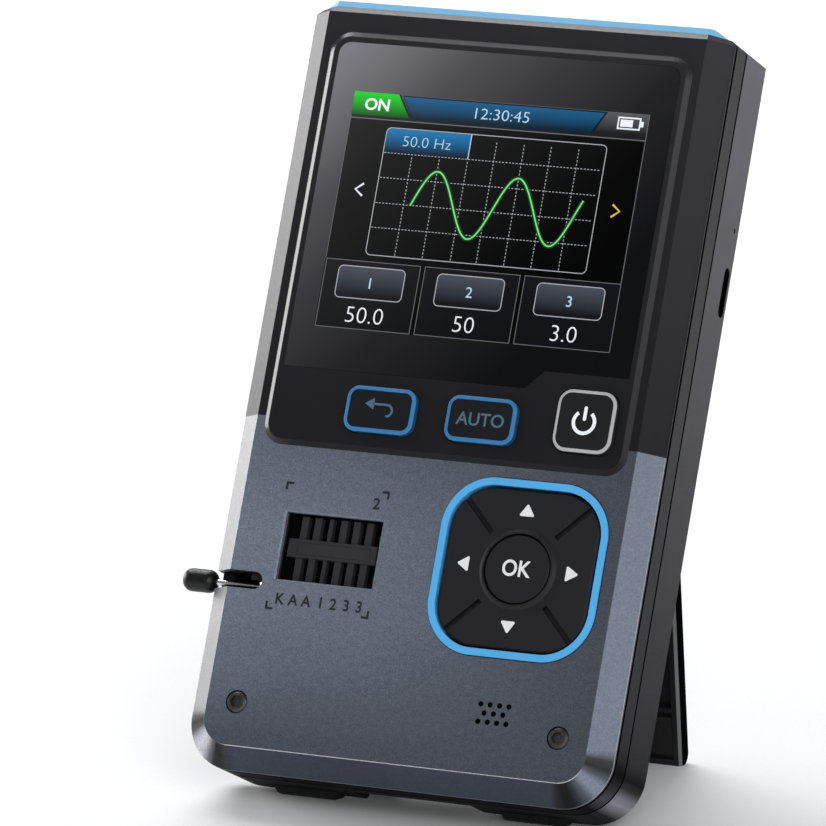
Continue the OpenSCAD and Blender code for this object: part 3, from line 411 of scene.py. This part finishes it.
def painted_face_light(m, colour):
    """The face's tone with painted light and shade: lighter at the upper left, deepest at the lower
    right.
    """
    across = m.remap(m.axis("X"), -36.0, 37.0, 1.0, 0.0)
    upward = m.ramp(m.rise("Y", 0.0, SLATE_TOP), [(0.03, 0.06), (0.46, 0.95), (0.72, 1.0),
                                                  (0.97, 0.5)])
    return m.ramp(m.times(across, upward), [(0.0, scaled(colour, 0.38)),
                                            (0.45, scaled(colour, 0.76)), (1.0, colour)])


def painted_bevel_light(m, colour, left_side):
    """The bevels' tone: a painted reflection that changes round each lower corner, and painted
    shade at the foot.
    """
    foot = (colour[0] * 0.2, colour[1] * 0.21, colour[2] * 0.25)
    right = [(at, scaled(colour, k)) for at, k in (
        (-15, 0.84), (-9, 0.6), (-2, 0.13), (10, 0.067), (20, 0.39), (30, 1.15), (40, 1.2),
        (50, 0.48), (60, 0.15), (70, 0.005), (80, 0.0), (90, 0.07))]
    left = [(at, (k, k * 1.02, k * 1.12)) for at, k in (
        (-14, 0.1), (-9, 0.08), (0, 0.03), (10, 0.01), (20, 0.065), (30, 0.4), (40, 0.62),
        (50, 0.53), (60, 0.17), (70, 0.035), (80, 0.036), (88, 0.05))]
    return m.mix(left_side, m.round_corner(right + [(100, foot)]),
                 m.round_corner(left + [(98, scaled(foot, 0.92))]))


def painted(name, colour):
    """Metallic paint: a fine sparkle of flakes over slow shifts of tone, with painted light on the
    face.
    The bevels get a painted reflection round the corners, painted highlights along their edges and
    a painted shadow in the seam at their end."""
    m = Material(name, colour, 0.4, metal=0.3)
    flakes = m.noise(0.3, detail=3, rough=0.7)
    sparkle = m.ramp(flakes, [(0.3, 0.7), (0.5, 0.97), (0.72, 1.45)])
    mottle = m.ramp(m.noise(1.1, detail=2, rough=0.7), [(0.35, 0.9), (0.65, 1.1)])
    sparkle = m.tint(sparkle, mottle)
    left_side = m.remap(m.axis("X"), -1.0, 1.0, 1.0, 0.0)
    # the bevels lie below the face, beside its corners' middles or under its lower edge
    edge = m.calc("MAXIMUM", m.remap(m.across(), CORNER_X - 0.4, CORNER_X + 0.2),
                  m.rise("Y", 0.2, 0.0))
    on_bevel = m.times(m.rise("Z", -0.02, -0.08), edge)
    tone = m.mix(on_bevel, painted_face_light(m, colour), painted_bevel_light(m, colour, left_side))
    # painted shade in the screws' holes
    holes = m.times(m.band("Y", CORNER_Y, SCREWS_TOP, 0.1),
                    m.remap(m.across(), SCREWS_SIDE + 0.1, SCREWS_SIDE - 0.1))
    holes = m.times(holes, m.rise("Z", -0.05, -0.12))
    tone = m.mix(holes, tone, PAINT_SHADOW)
    # painted highlights along the crease between face and bevel, and along the outer edge
    crease = m.times(m.band("Z", -0.14, -0.04, 0.04), edge)
    lower = m.mix(left_side, m.round_corner([(20, 0.0), (50, 1.0)]),
                  m.round_corner([(75, 0.0), (95, 1.0)]))
    tone = m.mix(m.times(crease, lower), tone, (0.7, 0.71, 0.75))
    rim = m.times(m.band("Z", BEVEL_FOOT - 0.01, BEVEL_FOOT + 0.09, 0.04),
                  m.round_corner([(40, 0.5), (80, 0.15)]))
    tone = m.mix(rim, tone, (0.62, 0.63, 0.66))
    # painted shade in the seam under the rim, with a lighter painted line in it
    under = m.rise("Z", BEVEL_FOOT + 0.01, BEVEL_FOOT - 0.01)
    seam = m.mix(m.band("Z", RIM_FOOT + 0.01, RIM_FOOT + 0.13, 0.03), PAINT_SHADOW,
                 (0.16, 0.17, 0.19))
    tone = m.mix(under, tone, seam)
    slow = m.noise(25, detail=1)
    tone = m.mix(m.swing(slow, 0.0, 0.12), tone, m.tint(tone, 0.4))
    sparkle = m.mix(m.times(on_bevel, 0.35), sparkle, 1.0)
    m.feed("Base Color", m.tint(tone, sparkle))
    gloss = m.round_corner([
        (-14, 0.5), (-9, 0.4), (0, 0.06), (10, 0.03), (20, 0.1), (30, 0.4), (40, 0.5), (50, 0.45),
        (60, 0.12), (70, 0.02), (80, 0.02), (90, 0.12), (104, 0.45)])
    gloss = m.mix(m.times(on_bevel, left_side), 0.5, gloss)
    gloss = m.mix(holes, gloss, 0.02)
    m.feed("Specular IOR Level", m.mix(under, gloss, 0.02))
    m.feed("Roughness", m.swing(flakes, 0.44, 0.32))
    m.bump(flakes, 0.2, 0.03)
    return m.mat


def sheen_glass(name, colour, sheen):
    """Polished black glass with a painted sheen, a reflection painted into its colour, over its
    upper left part.
    """
    m = Material(name, colour, 0.14, specular=0.25)
    m.feed("Base Color", m.sheen([
        (0.25, colour), (0.49, scaled(sheen, 0.07)), (0.66, scaled(sheen, 0.19)),
        (0.8, scaled(sheen, 0.38)), (1.0, sheen)]))
    m.feed("Roughness", m.swing(m.noise(12, rough=0.55), 0.12, 0.2))
    return m.mat


def metal(name, colour, rough, stretch=(1, 1, 1)):
    """Metal with fine lines along the axis where stretch is smallest."""
    m = Material(name, colour, rough, metal=1.0)
    lines = m.noise(0.5, rough=0.6, stretch=stretch)
    m.feed("Base Color", m.mottled(lines, colour, 0.85, 1.1))
    m.feed("Roughness", m.swing(lines, rough - 0.06, rough + 0.08))
    m.bump(lines, 0.15, 0.02)
    return m.mat


def glossy(name, colour):
    """Smooth lacquer or glass with faint smears."""
    rough = 0.3
    m = Material(name, colour, rough, coat=0.6, coat_rough=0.05)
    smear = m.noise(9, detail=4, rough=0.6)
    m.feed("Roughness", m.swing(smear, rough - 0.03, rough + 0.07))
    m.feed("Base Color", m.mottled(smear, colour, 0.9, 1.1))
    return m.mat


def printed(name, colour):
    """Printing ink."""
    m = Material(name, colour, 0.5)
    m.feed("Base Color", m.ramp(m.noise(0.2, detail=2), [(0.25, scaled(colour, 0.88)),
                                                         (0.75, scaled(colour, 1.04))]))
    return m.mat


def lit(name, colour, fade=None):
    """A lit area of the display, with a painted sheen of the glass added to its glow; fade = (axis,
    from, to, last tone).
    """
    m = Material(name, scaled(colour, 0.05), 0.2, specular=0.1)
    m.feed("Emission Strength", 1.0)
    tone = m.mottled(m.noise(0.3, detail=1), colour, 0.96, 1.03)
    if fade:
        which, start, end, last = fade
        tone = m.mix(m.rise(which, start, end), tone, scaled(colour, last))
    # painted sheen: the glass' reflection, added to the picture's glow
    painted_sheen = m.sheen([(0.3, 0.0), (0.4, 0.001), (0.45, 0.0022), (0.52, 0.0045), (0.6, 0.0078),
                    (0.76, 0.014), (0.83, 0.021), (1.0, 0.032)])
    m.feed("Emission Color", m.mix(1.0, tone, painted_sheen, "ADD"))
    return m.mat


# --- the materials ---
# tones and gloss of the two halves of the body, with their painted light, glint and shade
SHELL = {
    "up": [(0.0, 0.5), (0.52, 0.685), (1.0, 1.0)],
    "shine": (0.04, 0.4),
    # painted glint round the lower corners
    "corner": [(-25, 0.9), (-10, 0.65), (0, 0.3), (10, 0.2), (20, 1.0), (30, 4.5), (40, 9.0),
               (50, 5.5), (60, 0.35), (90, 0.3)],
    # painted shade in the groove behind the faceplate
    "dark": [[("Z", -4.82, -3.98)]],
    "display_frame": True,
}
REAR = {
    "up": [(0.0, 0.3), (0.52, 1.521), (1.0, 3.6)],
    "shine": (0.04, 0.25),
    # painted glint round the lower corners
    "corner": [(-10, 1.0), (0, 0.75), (10, 0.4), (20, 2.0), (30, 12.0), (40, 18.0), (50, 10.0),
               (60, 1.2), (70, 0.75), (90, 0.9)],
    # painted shade in the seam, and in the openings for USB and the charge light
    "dark": [[("Z", -9.62, -9.36)],
             [("Z", -19.0, -9.5), ("X", 34.0, 40.9), ("Y", 86.0, 108.0)]],
    # the painted shading's tone away from the side faces
    "inner": 0.42,
}

# the lit areas of the picture: name of the material, colour, fade
LIT = {
    "lit_back": ("picture_black", (2, 2, 3), ("X", -28, 28, 0.25)),
    "lit_panel": ("picture_panel", (3, 3, 4), ("Y", PANEL[3], PANEL[1], 0.3)),
    "lit_header": ("picture_header", (88, 91, 97), ("Y", 120.3, 116.4, 0.06)),
    "lit_green": ("picture_green", (20, 206, 36), ("Y", 120.2, 116.0, 0.08)),
    "lit_bar": ("picture_bar", (20, 92, 138), ("Y", 120.0, 116.2, 0.08)),
    "lit_tab": ("picture_tab", (24, 122, 182), ("Y", PANEL[3], 109.8, 0.03)),
    "lit_box": ("picture_box", (18, 19, 23), ("Y", BOXES_TOP, PICTURE[1], 0.7)),
    "lit_button": ("picture_button", (74, 80, 92), ("Y", 88.6, 83.0, 0.05)),
    "lit_line": ("picture_line", (176, 178, 184), None),
    "lit_thin": ("picture_thin", (104, 105, 110), None),
    "lit_dots": ("picture_dots", (176, 178, 182), None),
    "lit_white": ("picture_white", (236, 240, 246), None),
    "lit_pale": ("picture_pale", (180, 214, 240), None),
    "lit_wave": ("picture_wave", (118, 226, 128), None),
    "lit_glow": ("picture_glow", (20, 66, 22), None),
    "lit_yellow": ("picture_yellow", (226, 186, 96), None),
    "lit_dark": ("picture_edge", (8, 22, 40), None),
}


def make_materials():
    mats = {
        "shell": body_half("black_shell", srgb(37, 36, 40), 0.42, **SHELL),
        "rear": body_half("rear_shell_plastic", srgb(60, 59, 63), 0.5, **REAR),
        "slate": painted("slate_paint", srgb(128, 136, 152)),
        "blue": moulded("blue_plastic", srgb(140, 206, 248), 0.4, grain=0.1, relief=0.05,
                        spread=0.03),
        "ring": moulded("light_ring_blue", srgb(92, 184, 244), 0.4, grain=0.1, relief=0.04,
                        spread=0.04),
        "pad": moulded("pad_rubber", srgb(26, 25, 27), 0.5, grain=0.1, relief=0.12),
        "key": moulded("key_plastic", srgb(24, 24, 27), 0.4, grain=0.1, relief=0.08),
        "key_dark": moulded("key_plastic_blue", srgb(13, 16, 23), 0.4, grain=0.1, relief=0.08),
        "lens": sheen_glass("lens_black", srgb(6, 6, 8), srgb(138, 137, 142)),
        "module": glossy("display_module", srgb(14, 15, 18)),
        "stand": stand_plastic("stand_plastic", srgb(26, 26, 28)),
        "rubber": moulded("rubber_black", srgb(20, 20, 21), 0.7, grain=0.15, relief=0.3),
        # the socket's side walls in its openings get painted shade
        "zif": moulded("socket_plastic", srgb(48, 47, 51), 0.5, grain=0.12, relief=0.15,
                       wall_shade=(ZIF_WALL, 0.12)),
        "steel": metal("bright_steel", srgb(214, 214, 218), 0.2, stretch=(1, 8, 8)),
        "gold": metal("contact_spring", srgb(132, 122, 96), 0.3),
        "screw": metal("black_oxide", srgb(92, 90, 91), 0.4),
        "knob": moulded("knob_plastic", srgb(16, 16, 17), 0.34, grain=0.3, relief=0.8,
                        specular=0.35),
        "board": glossy("solder_mask", srgb(18, 92, 48)),
        "cell": metal("foil", srgb(170, 172, 176), 0.4),
        "light_pipe": glossy("light_pipe", srgb(40, 42, 44)),
        "print_white": printed("white_print", srgb(250, 250, 252)),
        "print_dark": printed("dark_print", srgb(24, 27, 34)),
        "print_blue": printed("blue_print", srgb(84, 112, 134)),
        # the keys' side walls get painted shade below their rims
        "rim_white": moulded("pale_rim", srgb(186, 186, 186), 0.42, grain=0.1, relief=0.04,
                             wall_shade=(KEY_WALL, 0.06)),
        "rim_blue": moulded("blue_rim", srgb(60, 128, 184), 0.42, grain=0.1, relief=0.04,
                            wall_shade=(KEY_WALL, 0.45)),
    }
    for key, (name, colour, fade) in LIT.items():
        mats[key] = lit(name, srgb(*colour), fade)
    return mats


# the CAD nodes that each material is for
NODE_MATS = {
    "shell": ["front_shell"],
    "rear": ["rear_shell"],
    "slate": ["faceplate"],
    "blue": ["top_cap"],
    "ring": ["light_ring"],
    "pad": ["direction_pad", "ok_key"],
    "key": ["key_switches", "speaker"],
    "rim_white": ["power_key"],
    "rim_blue": ["auto_key", "return_key"],
    "lens": ["display_lens"],
    "module": ["lcd_module"],
    "stand": ["stand"],
    "rubber": ["rubber_feet", "stand_pad", "pad_pivot"],
    "zif": ["zif_base", "zif_slider"],
    "steel": ["zif_lever", "usb_socket", "stand_pins"],
    "gold": ["zif_contacts", "signal_sockets"],
    "screw": ["front_screws", "rear_screws", "board_screws"],
    "knob": ["lever_knob"],
    "board": ["main_board"],
    "cell": ["battery"],
    "light_pipe": ["charge_light"],
}


def dress_nodes():
    for key, names in NODE_MATS.items():
        for name in names:
            slots = NODES[name].data.materials
            if not slots:
                slots.append(MATS[key])
            for i in range(len(slots)):
                slots[i] = MATS[key]


# --- outlines, in device mm ---
def box(x0, y0, x1, y1):
    return [(x0, y0), (x1, y0), (x1, y1), (x0, y1)]


def arc(cx, cy, r, start, sweep, steps):
    """Points along an arc, from start and through sweep, in degrees."""
    angles = [math.radians(start + sweep * k / steps) for k in range(steps + 1)]
    return [(cx + r * math.cos(a), cy + r * math.sin(a)) for a in angles]


def rrect(cx, cy, w, h, r):
    """A rectangle with round corners."""
    points = []
    for sx, sy, start in ((1, 1, 0), (-1, 1, 90), (-1, -1, 180), (1, -1, 270)):
        points += arc(cx + sx * (w / 2 - r), cy + sy * (h / 2 - r), r, start, 90, 8)
    return points


def rounded(points, r):
    """A convex outline with its corners rounded."""
    out = []
    for i, p in enumerate(points):
        p = Vector(p)
        a, b = (Vector(points[k % len(points)]) - p for k in (i - 1, i + 1))
        half = a.angle(b) / 2
        a.normalize()
        b.normalize()
        start, end = p + a * r / math.tan(half), p + b * r / math.tan(half)
        centre = p + (a + b).normalized() * r / math.sin(half)
        t0 = math.atan2(start.y - centre.y, start.x - centre.x)
        t1 = math.atan2(end.y - centre.y, end.x - centre.x)
        sweep = (t1 - t0 + math.pi) % (2 * math.pi) - math.pi
        out += arc(centre.x, centre.y, r, math.degrees(t0), math.degrees(sweep), 4)
    return out


def stroke(points, width):
    """Outline of a line of the given width through points."""
    left, right = [], []
    for i, (x, y) in enumerate(points):
        ax, ay = points[max(i - 1, 0)]
        bx, by = points[min(i + 1, len(points) - 1)]
        d = math.hypot(bx - ax, by - ay)
        nx, ny = -(by - ay) / d * width / 2, (bx - ax) / d * width / 2
        left.append((x + nx, y + ny))
        right.append((x - nx, y - ny))
    return right + left[::-1]


def dashes(x0, y0, x1, y1):
    """Short bars along a straight line."""
    pitch, dash, width = 0.66, 0.36, 0.12
    length = math.hypot(x1 - x0, y1 - y0)
    dx, dy = (x1 - x0) / length, (y1 - y0) / length
    out = []
    for k in range(int(length / pitch)):
        a, b = k * pitch, k * pitch + dash
        out.append(stroke([(x0 + dx * a, y0 + dy * a), (x0 + dx * b, y0 + dy * b)], width))
    return out


# --- printed and lit pieces; on = the body they ride on and their material slot ---
FACEPLATE = ("housing", "grey_metal")
LENS = ("housing", "lens")
PAD = ("rocker", "pad_black")
OK_KEY = ("ok_button", "pad_black")
POWER_KEY = ("power_button", "power_cap")
AUTO_KEY = ("auto_button", "key_blue")
RETURN_KEY = ("return_button", "key_blue")
SOCKET_BAR = ("clamp_slider", "zif_black")

LAYER = 0.012       # height of a layer of the picture
PRINT = 0.015       # thickness of a printed sign
LETTER = 0.03       # thickness of a printed letter
SINK = 0.01         # how far an area reaches into the surface under it
FRAME_SINK = 0.008  # the same for a frame line


def join(mesh, name, on):
    """Puts a mesh in the scene as a piece of the object."""
    body, slot = on
    obj = bpy.data.objects.new(name, mesh)
    bpy.context.scene.collection.objects.link(obj)
    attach(obj, body)


def add_mesh(name, verts, faces, mat, on):
    mesh = bpy.data.meshes.new(name)
    mesh.from_pydata([DEVICE @ Vector(v) for v in verts], [], faces)
    mesh.materials.append(MATS[mat])
    mesh.update()
    join(mesh, name, on)


def areas(name, outlines, z, thick, mat, on):
    """Closed prisms over outlines, as one piece."""
    verts, faces = [], []
    for outline in outlines:
        n, k = len(outline), len(verts)
        verts += [(x, y, z - SINK) for x, y in outline] + [(x, y, z + thick) for x, y in outline]
        faces.append(tuple(k + i for i in reversed(range(n))))
        faces.append(tuple(k + n + i for i in range(n)))
        for i in range(n):
            j = (i + 1) % n
            faces.append((k + i, k + j, k + n + j, k + n + i))
    add_mesh(name, verts, faces, mat, on)


def frame_line(name, outer, inner, z, mat, on):
    """A closed frame between two outlines of as many points."""
    verts, faces = [], []
    n = len(outer)
    low, high = z - FRAME_SINK, z + LAYER
    for outline, level in ((outer, low), (inner, low), (outer, high), (inner, high)):
        verts += [(x, y, level) for x, y in outline]
    for i in range(n):
        j = (i + 1) % n
        faces.append((i, n + i, n + j, j))
        faces.append((2 * n + i, 2 * n + j, 3 * n + j, 3 * n + i))
        faces.append((i, j, 2 * n + j, 2 * n + i))
        faces.append((n + i, 3 * n + i, 3 * n + j, n + j))
    add_mesh(name, verts, faces, mat, on)


def text(name, string, at, size, mat, on, thick=LETTER, bold=0.0, stretch=1.0):
    """Letters centred at a place; bold widens the strokes, stretch the whole word."""
    curve = bpy.data.curves.new(name, "FONT")
    curve.body = string
    curve.size = size
    curve.align_x = "CENTER"
    curve.align_y = "CENTER"
    curve.offset = bold
    curve.extrude = thick / 2
    curve.resolution_u = 4
    temp = bpy.data.objects.new(name, curve)
    bpy.context.scene.collection.objects.link(temp)
    ready = temp.evaluated_get(bpy.context.evaluated_depsgraph_get())
    mesh = bpy.data.meshes.new_from_object(ready)
    bpy.data.objects.remove(temp)
    bpy.data.curves.remove(curve)
    xs = [v.co.x for v in mesh.vertices]
    ys = [v.co.y for v in mesh.vertices]
    mx, my = (min(xs) + max(xs)) / 2, (min(ys) + max(ys)) / 2
    x, y, z = at
    for v in mesh.vertices:
        v.co = DEVICE @ Vector((x + (v.co.x - mx) * stretch, y + v.co.y - my, z + v.co.z))
    mesh.name = name
    mesh.materials.clear()
    mesh.materials.append(MATS[mat])
    join(mesh, name, on)


# --- the lit picture ---
def on_glass(name, outlines, layer, mat):
    areas("picture_" + name, outlines, GLASS + LAYER * layer, LAYER, mat, LENS)


def glass_frame(name, limits, r, width, layer, mat):
    x0, y0, x1, y1 = limits
    cx, cy, w, h = (x0 + x1) / 2, (y0 + y1) / 2, x1 - x0, y1 - y0
    inner = rrect(cx, cy, w - 2 * width, h - 2 * width, max(r - width, 0.02))
    frame_line("picture_" + name, rrect(cx, cy, w, h, r), inner, GLASS + LAYER * layer, mat, LENS)


def glass_text(name, string, x, y, size, mat, bold=0.0, stretch=1.0):
    above_layers = 0.07
    text("picture_" + name, string, (x, y, GLASS + above_layers), size, mat, LENS, thick=LAYER,
         bold=bold, stretch=stretch)


def add_header():
    """The picture's ground and edges, and its header with the tab, the bar and the battery."""
    x0, y0, x1, y1 = PICTURE
    low = HEADER_FOOT + 0.5     # foot of the tab and the bar
    on_glass("back", [box(x0, y0, x1, y1)], 0, "lit_back")
    on_glass("header", [box(x0, HEADER_FOOT, x1, y1)], 1, "lit_header")
    on_glass("header_line", [box(x0, HEADER_FOOT - 0.15, x1, HEADER_FOOT + 0.03)], 2, "lit_thin")
    edges = [box(x1 - 0.14, BOXES_TOP, x1, y1), box(x0, BOXES_TOP, x0 + 0.1, y1)]
    on_glass("edge", edges, 2, "lit_thin")
    on_glass("on_shadow", [[(x0, 115.9), (-16.9, 115.9), (-19.7, y1), (x0, y1)]], 2, "lit_dark")
    on_glass("on_tab", [[(x0, low), (-17.4, low), (-20.1, y1), (x0, y1)]], 3, "lit_green")
    on_glass("title_shadow", [[(-16.6, 115.8), (18.3, 115.8), (20.7, 120.1), (-19.3, 120.1)]], 2,
             "lit_dark")
    on_glass("title_bar", [[(-16.5, low), (17.9, low), (20.2, 119.85), (-19.0, 119.85)]], 3,
             "lit_bar")
    glass_text("on", "ON", -24.0, 118.05, 3.0, "lit_white", bold=0.07, stretch=1.05)
    glass_text("clock", "12:30:45", 0.6, 117.9, 2.9, "lit_pale", bold=-0.03, stretch=1.15)
    glass_frame("battery_case", (22.85, 117.15, 27.3, 119.45), 0.1, 0.28, 3, "lit_white")
    on_glass("battery_fill", [box(23.4, 117.65, 25.8, 118.95), box(27.3, 117.8, 27.85, 118.8)], 3,
             "lit_white")


def add_panel():
    """The panel with its grid, its tab and the wave, and the arrows beside it."""
    x0, y0, x1, y1 = PANEL
    inset = 0.3         # between the grid and the frame
    tab_x = -4.65       # right edge of the tab
    on_glass("panel", [rrect((x0 + x1) / 2, (y0 + y1) / 2, x1 - x0, y1 - y0, 1)], 1, "lit_panel")
    glass_frame("panel_frame", PANEL, 1.0, 0.14, 3, "lit_line")
    tab = box(x0 + 0.2, 109.5, tab_x, y1 - 0.2)
    on_glass("wave_tab", [rounded(tab, 0.05)], 2, "lit_tab")
    on_glass("tab_edge", [box(-4.72, 109.4, -4.55, y1)], 3, "lit_pale")
    lines = []
    for x in (-15.5, -10.1, -4.6, 0.44, 5.8, 11.06, 16.4):
        under_tab = x < -4
        lines += dashes(x, y0 + inset, x, 109.3 if under_tab else y1 - inset)
    for y in (109.4, 104.8, 100.15, 95.6):
        lines += dashes(x0 + inset, y, x1 - inset, y)
    on_glass("grid", lines, 2, "lit_dots")
    first, last, crest, length = -14.2, 18.9, 5.81, 15.77
    middle, height = 100.8, 5.9
    wave = []
    for k in range(97):
        x = first + (last - first) * k / 96
        wave.append((x, middle + height * math.cos(2 * math.pi * (x - crest) / length)))
    on_glass("wave_glow", [stroke(wave, 0.8)], 3, "lit_glow")
    on_glass("wave", [stroke(wave, 0.28)], 4, "lit_wave")
    glass_text("wave_tab", "50.0 Hz", -13.0, 111.75, 2.8, "lit_pale", bold=-0.05, stretch=1.1)
    for name, back, tip, mat in (("arrow_left", -23.9, -25.4, "lit_white"),
                                 ("arrow_right", 24.6, 26.1, "lit_yellow")):
        on_glass(name, [stroke([(back, 103.45), (tip, 102.3), (back, 101.15)], 0.36)], 2, mat)


def add_value_boxes():
    for i, (cx, value) in enumerate(((-19.3, "50.0"), (0.1, "50"), (19.5, "3.0"))):
        limits = (cx - 9.3, 76.75, cx + 9.3, BOXES_TOP)
        on_glass(f"box_{i}", [box(*limits)], 1, "lit_box")
        glass_frame(f"box_frame_{i}", limits, 0.1, 0.13, 2, "lit_thin")
        on_glass(f"button_{i}", [rrect(cx, 85.3, 13.2, 6.0, 1)], 2, "lit_button")
        glass_frame(f"button_frame_{i}", (cx - 6.6, 82.3, cx + 6.6, 88.3), 1.0, 0.15, 3,
                    "lit_line")
        glass_text(f"button_{i}", str(i + 1), cx, 85.3, 2.8, "lit_pale")
        glass_text(f"value_{i}", value, cx, 79.4, 4.3, "lit_white", bold=-0.07, stretch=1.05)


# --- the printed legends ---
def sign(name, outlines, z, mat, on):
    areas("print_" + name, outlines, z, PRINT, mat, on)


def print_faceplate():
    """Pin marks and corner marks round the socket, and the dark line round the light ring."""
    size, bold = 2.85, 0.055
    letters_x = (-26.2, -23.7, -21.15, -18.3, -15.85, -13.3, -10.8)
    for i, (letter, x) in enumerate(zip("KAA1233", letters_x)):
        text(f"print_pin_{i}", letter, (x, 27.05, 0), size, "print_dark", FACEPLATE, bold=bold,
             stretch=0.95)
    text("print_pin_top", "2", (-10.85, 45.85, 0), size, "print_dark", FACEPLATE, bold=bold)
    w = 0.42
    corners = []
    for x, y, sx, sy in ((-28.9, 24.94, 1, 1), (-8.63, 25.07, -1, 1), (-8.64, 48.25, -1, -1),
                         (-28.9, 48.25, 1, -1)):
        far_x, far_y = x + sx * 1.45, y + sy * 1.47
        near_x, near_y = x + sx * w, y + sy * w
        corner = [(x, y), (far_x, y), (far_x, near_y), (near_x, near_y), (near_x, far_y),
                  (x, far_y)]
        corners.append(corner[::sx * sy])
    sign("corners", corners, 0, "print_dark", FACEPLATE)
    frame_line("print_ring_edge", rrect(*RING_AT, 32.36, 32.36, 9.68),
               rrect(*RING_AT, 31.9, 31.9, 9.45), FRAME_SINK, "print_dark", FACEPLATE)


def print_pad():
    arrows = (((18.2, 48.6), (16.7, 46.3), (19.8, 46.3)),
              ((6.5, 36.85), (8.8, 35.35), (8.8, 38.35)),
              ((29.9, 36.85), (27.45, 38.35), (27.45, 35.35)),
              ((18.25, 25.1), (19.6, 27.4), (16.6, 27.4)))
    for i, arrow in enumerate(arrows):
        sign(f"arrow_{i}", [rounded(arrow, 0.22)], PAD_TOP, "print_white", PAD)
    text("print_ok", "OK", (18.25, 36.8, OK_TOP), 4.1, "print_white", OK_KEY, bold=0.07,
         stretch=0.9)


def print_keys():
    # dark tops, which leave the keys' coloured rims free
    for name, cx, cy, w, h, r, rim, mat, on in (
            ("power", 26.8, 63.9, 11.2, 11.2, 2.6, 0.6, "key", POWER_KEY),
            ("auto", 7.0, 62.4, 13.4, 8.3, 2.2, 0.72, "key_dark", AUTO_KEY),
            ("return", -12.6, 62.4, 13.4, 8.3, 2.2, 0.72, "key_dark", RETURN_KEY)):
        top = rrect(cx, cy, w - 2 * rim, h - 2 * rim, r - rim)
        sign(name + "_top", [top], KEY_TOP, mat, on)
    # signs
    z = KEY_TOP + 0.02
    opening = 76    # degrees, at the top of the power sign
    ring = arc(26.75, 63.75, 2.0, 90 + opening / 2, 360 - opening, 32)
    sign("power_ring", [stroke(ring, 0.64)], z, "lit_white", POWER_KEY)
    sign("power_bar", [rrect(26.75, 65.3, 0.62, 2.6, 0.3)], z, "lit_white", POWER_KEY)
    text("print_auto", "AUTO", (7.0, 62.4, z), 3.3, "print_blue", AUTO_KEY, bold=0.04)
    line = [(-11.2, 61.3)] + arc(-11.2, 62.35, 1.05, -90, 180, 8) + [(-14.0, 63.4)]
    head = rounded([(-15.6, 63.4), (-13.8, 62.3), (-13.8, 64.5)], 0.1)
    sign("return_line", [stroke(line, 0.42)], z, "print_blue", RETURN_KEY)
    sign("return_head", [head], z, "print_blue", RETURN_KEY)


def mark_socket_bar():
    """The outlined field on the socket's bar."""
    frame_line("mark_socket_bar", rrect(-18.2, 36.7, 14.4, 2.3, 0.1),
               rrect(-18.2, 36.7, 14.1, 2.0, 0.05), BAR_TOP, "print_dark", SOCKET_BAR)


add_camera()
add_studio()
add_floor()
MATS = make_materials()
dress_nodes()
add_header()
add_panel()
add_value_boxes()
print_faceplate()
print_pad()
print_keys()
mark_socket_bar()
